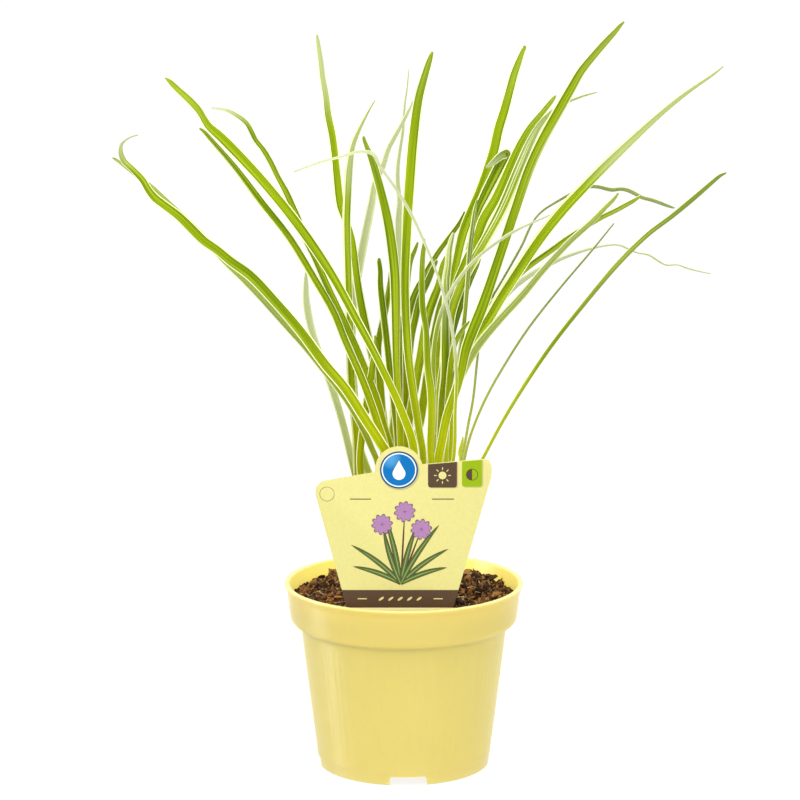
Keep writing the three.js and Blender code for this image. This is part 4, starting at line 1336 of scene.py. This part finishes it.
            (41, 300, 66, 5.7), (44, 310, 70, 5.6), (46, 319.5, 73, 5.5), (49, 329.5, 77, 5.2),
            (51.5, 339, 81, 4.8), (53.5, 346.5, 85, 4.5), (56, 353.5, 88, 3.6), (57.5, 357.5, 90, 2.7),
            (58.5, 359.5, 91, 2.1), (58.5, 360.5, 91, 1.2))),
        ("folded", (0, 0), ((14.5, 157, 19, 4), (16, 175.5, 22, 4), (22, 215.5, 27, 4.6),
            (29.5, 248, 33, 4.6), (34, 270.5, 38, 3.7), (36, 279.5, 40, 4.3), (39.5, 287.5, 43, 5.4),
            (44.5, 297.5, 45, 5.9), (48, 304.5, 47, 5.9), (50, 307.5, 47, 5.6), (50, 308, 45.5, 5.1),
            (47.5, 307, 44, 4.3), (44, 304, 43, 3.2), (40, 301, 42, 1))),
        ("mid", (35, 20), ((2.5, 159, 20, 3.5), (5.5, 165.5, 21, 3.7), (8, 173, 23, 4.3),
            (9.5, 183, 24, 4.6), (11, 193, 26, 4.6), (12.5, 204.5, 30, 4.3), (14.5, 215.5, 34, 4.3),
            (17.5, 231.5, 40, 3.5), (18.5, 238, 40, 1))),
        ("dark", (25, 30), ((27.5, 152, 28, 2.6), (28, 159, 44, 2.5), (29, 163.5, 70, 1.9),
            (29.5, 167, 96, 0.9))),
    )),
}


def seen(across, up, back, width):
    """The point seen at (across, up) on the upright plane through the pot's axis, `back` behind it."""
    on_plane = Vector((across, 0, up))
    place = on_plane + (on_plane - EYE) * (-back / EYE.y)
    return Vector((*place, width))


def through(places, steps=14):
    """A smooth line through places, as a centripetal Catmull-Rom curve."""
    ends = [places[0] * 2 - places[1], *places, places[-1] * 2 - places[-2]]
    line = []
    for a, b, c, d in zip(ends, ends[1:], ends[2:], ends[3:]):
        gap_a, gap_b, gap_c = (math.sqrt((q - p).length) for p, q in ((a, b), (b, c), (c, d)))
        leave = ((b - a) / gap_a - (c - a) / (gap_a + gap_b) + (c - b) / gap_b) * gap_b
        arrive = ((c - b) / gap_b - (d - b) / (gap_b + gap_c) + (d - c) / gap_c) * gap_b
        for step in range(steps):
            t = step / steps
            line.append(
                b * (2 * t ** 3 - 3 * t ** 2 + 1) + leave * (t ** 3 - 2 * t ** 2 + t)
                + c * (3 * t ** 2 - 2 * t ** 3) + arrive * (t ** 3 - t ** 2))
    return [*line, places[-1]]


def rows_along(line):
    """Points along a line, closer together where it bends and near its end, and the length before each."""
    lengths, count = [0], [0]
    for a, b in zip(line, line[1:]):
        lengths.append(lengths[-1] + (b - a).length)
    before = line[1] - line[0]
    for a, b, reach in zip(line, line[1:], lengths):
        spacing = min(ROW_LENGTH, TIP_ROW_LENGTH + 0.25 * (lengths[-1] - reach))
        bend = before.to_3d().angle((b - a).to_3d())
        count.append(count[-1] + (b - a).length / spacing + bend / ROW_BEND)
        before = b - a
    places, index = [], 0
    rows = math.ceil(count[-1])
    for row in range(rows + 1):
        wanted = count[-1] * row / rows
        while index < len(line) - 2 and count[index + 1] < wanted:
            index += 1
        share = (wanted - count[index]) / (count[index + 1] - count[index])
        reach = lerp(lengths[index], lengths[index + 1], share)
        places.append((line[index].lerp(line[index + 1], share), reach))
    return places


class Leaf:
    """One leaf: a sheath that is wrapped round its shoot's axis below, and a folded strap above."""

    def __init__(self, foot, order, turn, route, draw):
        self.axis = Vector((*foot, 0))
        self.turn = turn
        self.split = SPLIT_HEIGHT + SPLIT_STEP * order
        self.wave = (draw.uniform(0, math.tau), draw.uniform(0.05, 0.09), draw.uniform(0.1, 0.3))
        blade = [seen(*point) for point in route]
        lean = Vector((blade[0].x - foot[0], blade[0].y - foot[1], 0))
        self.out = lean.normalized() if lean.length > 0.1 else Vector((0, -1, 0))
        nest = 1 - NEST_STEP * order
        below = [self.axis + self.out * radius * nest + UP * up for up, radius in SHEATH]
        below.append(self.axis + self.out * min(2, lean.length) + UP * COLLAR_HEIGHT)
        line = through([*(Vector((*place, blade[0].w)) for place in below), *blade])
        self.rows = [(point.to_3d(), max(0.15, point.w), reach) for point, reach in rows_along(line)]
        self.cad_root = next(reach for point, _, reach in self.rows if point.z > CAD_ROOT_HEIGHT)
        self.frames = self.follow()

    def follow(self):
        """For each row: its middle, the direction across the leaf and the side that faces inwards."""
        middle_row = len(self.rows) // 2
        directions = []
        for row, (middle, _, reach) in enumerate(self.rows):
            before = self.rows[max(0, row - 1)][0]
            after = self.rows[min(len(self.rows) - 1, row + 1)][0]
            forward = (after - before).normalized()
            across = (middle - EYE).cross(forward).normalized()
            across.rotate(Matrix.Rotation(self.turned(reach), 3, forward))
            if directions and across.dot(directions[-1][2]) < 0:
                across.negate()
            directions.append((middle, forward, across))
        middle, forward, across = directions[middle_row]
        inward = UP * 60 - Vector((middle.x, middle.y, 0)) + self.axis
        self.flip = 1 if across.cross(forward).dot(inward) >= 0 else -1
        frames, twist = [], None
        for middle, forward, across in directions:
            face = across.cross(forward)
            strap = across * self.flip
            wrapped = forward.cross(-self.out).normalized()
            wanted = math.atan2(strap.cross(wrapped).dot(forward), strap.dot(wrapped))
            if twist is not None:
                wanted += math.tau * round((twist - wanted) / math.tau)
            twist = wanted
            share = self.wrap(middle.z)
            strap = Matrix.Rotation(twist * share, 3, forward) @ strap
            frames.append((middle - face * SET_BACK * (1 - share), strap, strap.cross(forward)))
        return frames

    def along(self, reach):
        """How far along the blade a row is, from 0 at the root of the frame's blade to 1 at its tip."""
        return max(0, (reach - self.cad_root) / (self.rows[-1][2] - self.cad_root))

    def turned(self, reach):
        """How far the leaf is turned away from the camera at a row."""
        return math.radians(lerp(*self.turn, self.along(reach)))

    def wrap(self, up):
        """1 where the leaf is rolled round the shoot's axis, and 0 where it is a strap."""
        return 1 - smoothstep(up, self.split - 6, self.split + 20)

    def point(self, u, v):
        """The place on the leaf at u across, from 0 to 1, and v along."""
        row = round(v * (len(self.rows) - 1))
        middle, across, inward = self.frames[row]
        _, width, reach = self.rows[row]
        share = self.wrap(middle.z)
        radius = max(1.6, (middle - self.axis).xy.length) if share > 0 else 3
        strap_half = width / math.cos(self.turned(reach)) / 2
        half = lerp(strap_half, SHEATH_GIRTH * radius, share ** 1.6)
        side = (2 * u - 1) * half
        bend = max(1e-3, share / radius)
        x = math.sin(bend * side) / bend
        y = (1 - math.cos(bend * side)) / bend
        fold = lerp(ROOT_FOLD, TIP_FOLD, self.along(reach)) * (1 - share)
        y += fold * (math.hypot(side, KEEL_RADIUS) - KEEL_RADIUS - 0.5 * half)
        phase, rate, height = self.wave
        y += height * (1 - share) * (2 * u - 1) ** 2 * math.sin(phase + rate * reach)
        return middle + across * x + inward * y


def every_leaf(draw):
    for name, (foot, leaves) in SHOOTS.items():
        for order, (look, turn, route) in enumerate(leaves):
            yield name, look, Leaf(foot, order, turn, route, draw)


def strap(leaf, look, number, settings):
    """Makes one leaf from a flat strip that is laid along its line, thickened and smoothed."""
    deselect()
    rows = len(leaf.rows) - 1
    bpy.ops.mesh.primitive_grid_add(x_subdivisions=LEAF_COLUMNS, y_subdivisions=rows, size=1, calc_uvs=True)
    piece = bpy.context.object
    mesh = piece.data
    full = piece.vertex_groups.new(name="thickness")
    reaches = []
    for vertex in mesh.vertices:
        u, v = vertex.co.x + 0.5, vertex.co.y + 0.5
        reaches.append(leaf.along(leaf.rows[round(v * rows)][2]))
        vertex.co = leaf.point(u, v) * MM
        edge = abs(2 * u - 1) ** 2
        full.add([vertex.index], lerp(1, 0.45, edge) * lerp(1, 0.5, smoothstep(v, 0.7, 1)), "REPLACE")
    tone, left, right, stripes, pale_root, pale_tip, tip = LOOKS[look]
    if leaf.flip < 0:
        left, right = right, left
    colours = mesh.attributes.new("look", "FLOAT_COLOR", "POINT")
    striped = [(tone, left, right, stripes * smoothstep(reach, tip - 0.4, tip - 0.1)) for reach in reaches]
    colours.data.foreach_set("color", [level for colour in striped for level in colour])
    pale = [lerp(pale_root, pale_tip, smoothstep(reach, tip - 0.05, tip + 0.05)) for reach in reaches]
    for name, levels in (("pale", pale), ("seed", [number * 3.7] * len(pale))):
        attribute = mesh.attributes.new(name, "FLOAT", "POINT")
        attribute.data.foreach_set("value", levels)
    modify(piece, "SOLIDIFY", thickness=settings.thickness, offset=0, vertex_group="thickness",
           thickness_vertex_group=0.3)
    modify(piece, "SUBSURF", levels=1, render_levels=1)
    return piece


class MakeShoots(bpy.types.Operator):
    """Models every leafy shoot"""

    bl_idname = "garlic_chives.make_shoots"
    bl_label = "Make the shoots"

    def execute(self, context):
        settings = context.scene.chives_leaves
        draw = random.Random(settings.seed)
        skin = leaf_skin(settings)
        blades = {name: [] for name in SHOOTS}
        for number, (name, look, leaf) in enumerate(every_leaf(draw)):
            blades[name].append(strap(leaf, look, number, settings))
        for name, straps in blades.items():
            piece = join(straps, f"leaves_{name}")
            edit(piece)
            bpy.ops.mesh.normals_make_consistent(inside=False)
            close_edit()
            bpy.ops.object.shade_smooth()
            piece.data.materials.append(skin)
            settle(piece, f"leaves_{name}", [f"shoot_{name}"])
        return {"FINISHED"}


# Stage

def soft_light(name, place, size, power, aim=TARGET):
    """A rectangular light at a place, in metres, turned towards a point in millimetres."""
    light = bpy.data.lights.new(name, "AREA")
    light.shape = "RECTANGLE"
    light.size, light.size_y = size
    light.energy = power
    lamp = bpy.data.objects.new(name, light)
    lamp.location = place
    lamp.rotation_euler = (aim * MM - Vector(place)).to_track_quat("-Z", "Y").to_euler()
    bpy.context.scene.collection.objects.link(lamp)
    return lamp


def studio_paint(settings):
    paint = Paint("studio_floor")
    return paint.shade({"Base Color": (*settings.floor_colour, 1), "Roughness": 0.9,
                        "Specular IOR Level": 0.1, "Emission Color": (1, 1, 1, 1),
                        "Emission Strength": settings.floor_glow})


class SetStage(bpy.types.Operator):
    """Sets the floor, the lights and the camera at the photograph's viewing angle"""

    bl_idname = "garlic_chives.set_stage"
    bl_label = "Set the stage"

    def execute(self, context):
        settings = context.scene.chives_stage
        deselect()
        bpy.ops.mesh.primitive_circle_add(vertices=64, radius=FLOOR_RADIUS, fill_type="NGON")
        floor = bpy.context.object
        floor.name = "studio_floor"
        floor.data.materials.append(studio_paint(settings))

        world = bpy.data.worlds.new("studio_sky")
        world.use_nodes = True
        background = world.node_tree.nodes["Background"]
        background.inputs["Color"].default_value = (1, 1, 1, 1)
        background.inputs["Strength"].default_value = settings.sky
        context.scene.world = world
        soft_light("key_light", (-0.9, -1.5, 1.7), (1.4, 1.2), settings.key_power)
        soft_light("front_light", (0.6, -1.9, 0.5), (1.4, 0.8), settings.front_power)
        soft_light("top_light", (0, -0.3, 1.4), (0.9, 0.9), settings.top_power)
        strip_light = soft_light("strip_light", (-0.95, 0.02, 0.4), (0.2, 0.8), settings.strip_power)
        strip_light.visible_diffuse = False
        soft_light("back_light", (0, 0.28, 0.06), (0.3, 0.07), settings.back_power, UP * 60)

        camera_data = bpy.data.cameras.new("camera")
        camera_data.sensor_width = SENSOR
        camera_data.lens = FOCAL_PIXELS / FRAME_PIXELS * SENSOR
        camera = bpy.data.objects.new("camera", camera_data)
        place = Vector((TARGET.x, EYE.y, EYE.z))
        camera.location = place * MM
        camera.rotation_euler = (TARGET - place).to_track_quat("-Z", "Y").to_euler()
        context.scene.collection.objects.link(camera)
        context.scene.camera = camera
        context.scene.view_settings.view_transform = "Standard"
        return {"FINISHED"}


# Panel and start

STEPS = (SetStage, MakePot, MakeSoil, MakeCrumbs, MakeCard, PrintCard, MakeShoots)


class ChivesPanel(bpy.types.Panel):
    """Lists the steps and their settings in the sidebar"""

    bl_idname = "VIEW3D_PT_garlic_chives"
    bl_label = "Garlic chives"
    bl_space_type = "VIEW_3D"
    bl_region_type = "UI"
    bl_category = "Garlic chives"

    def draw(self, context):
        for step in STEPS:
            self.layout.operator(step.bl_idname)
        for name in SETTINGS:
            settings = getattr(context.scene, name)
            box = self.layout.box()
            for field in type(settings).__annotations__:
                box.prop(settings, field)


SETTINGS = {
    "chives_pot": PotSettings,
    "chives_soil": SoilSettings,
    "chives_card": CardSettings,
    "chives_leaves": LeafSettings,
    "chives_stage": StageSettings,
}


def register():
    for kind in (*SETTINGS.values(), *STEPS, ChivesPanel):
        bpy.utils.register_class(kind)
    for name, kind in SETTINGS.items():
        setattr(bpy.types.Scene, name, PointerProperty(type=kind))


def unregister():
    for name in SETTINGS:
        delattr(bpy.types.Scene, name)
    for kind in reversed((*SETTINGS.values(), *STEPS, ChivesPanel)):
        bpy.utils.unregister_class(kind)


def main():
    register()
    for step in STEPS:
        group, name = step.bl_idname.split(".")
        getattr(getattr(bpy.ops, group), name)()


if __name__ == "__main__":
    main()
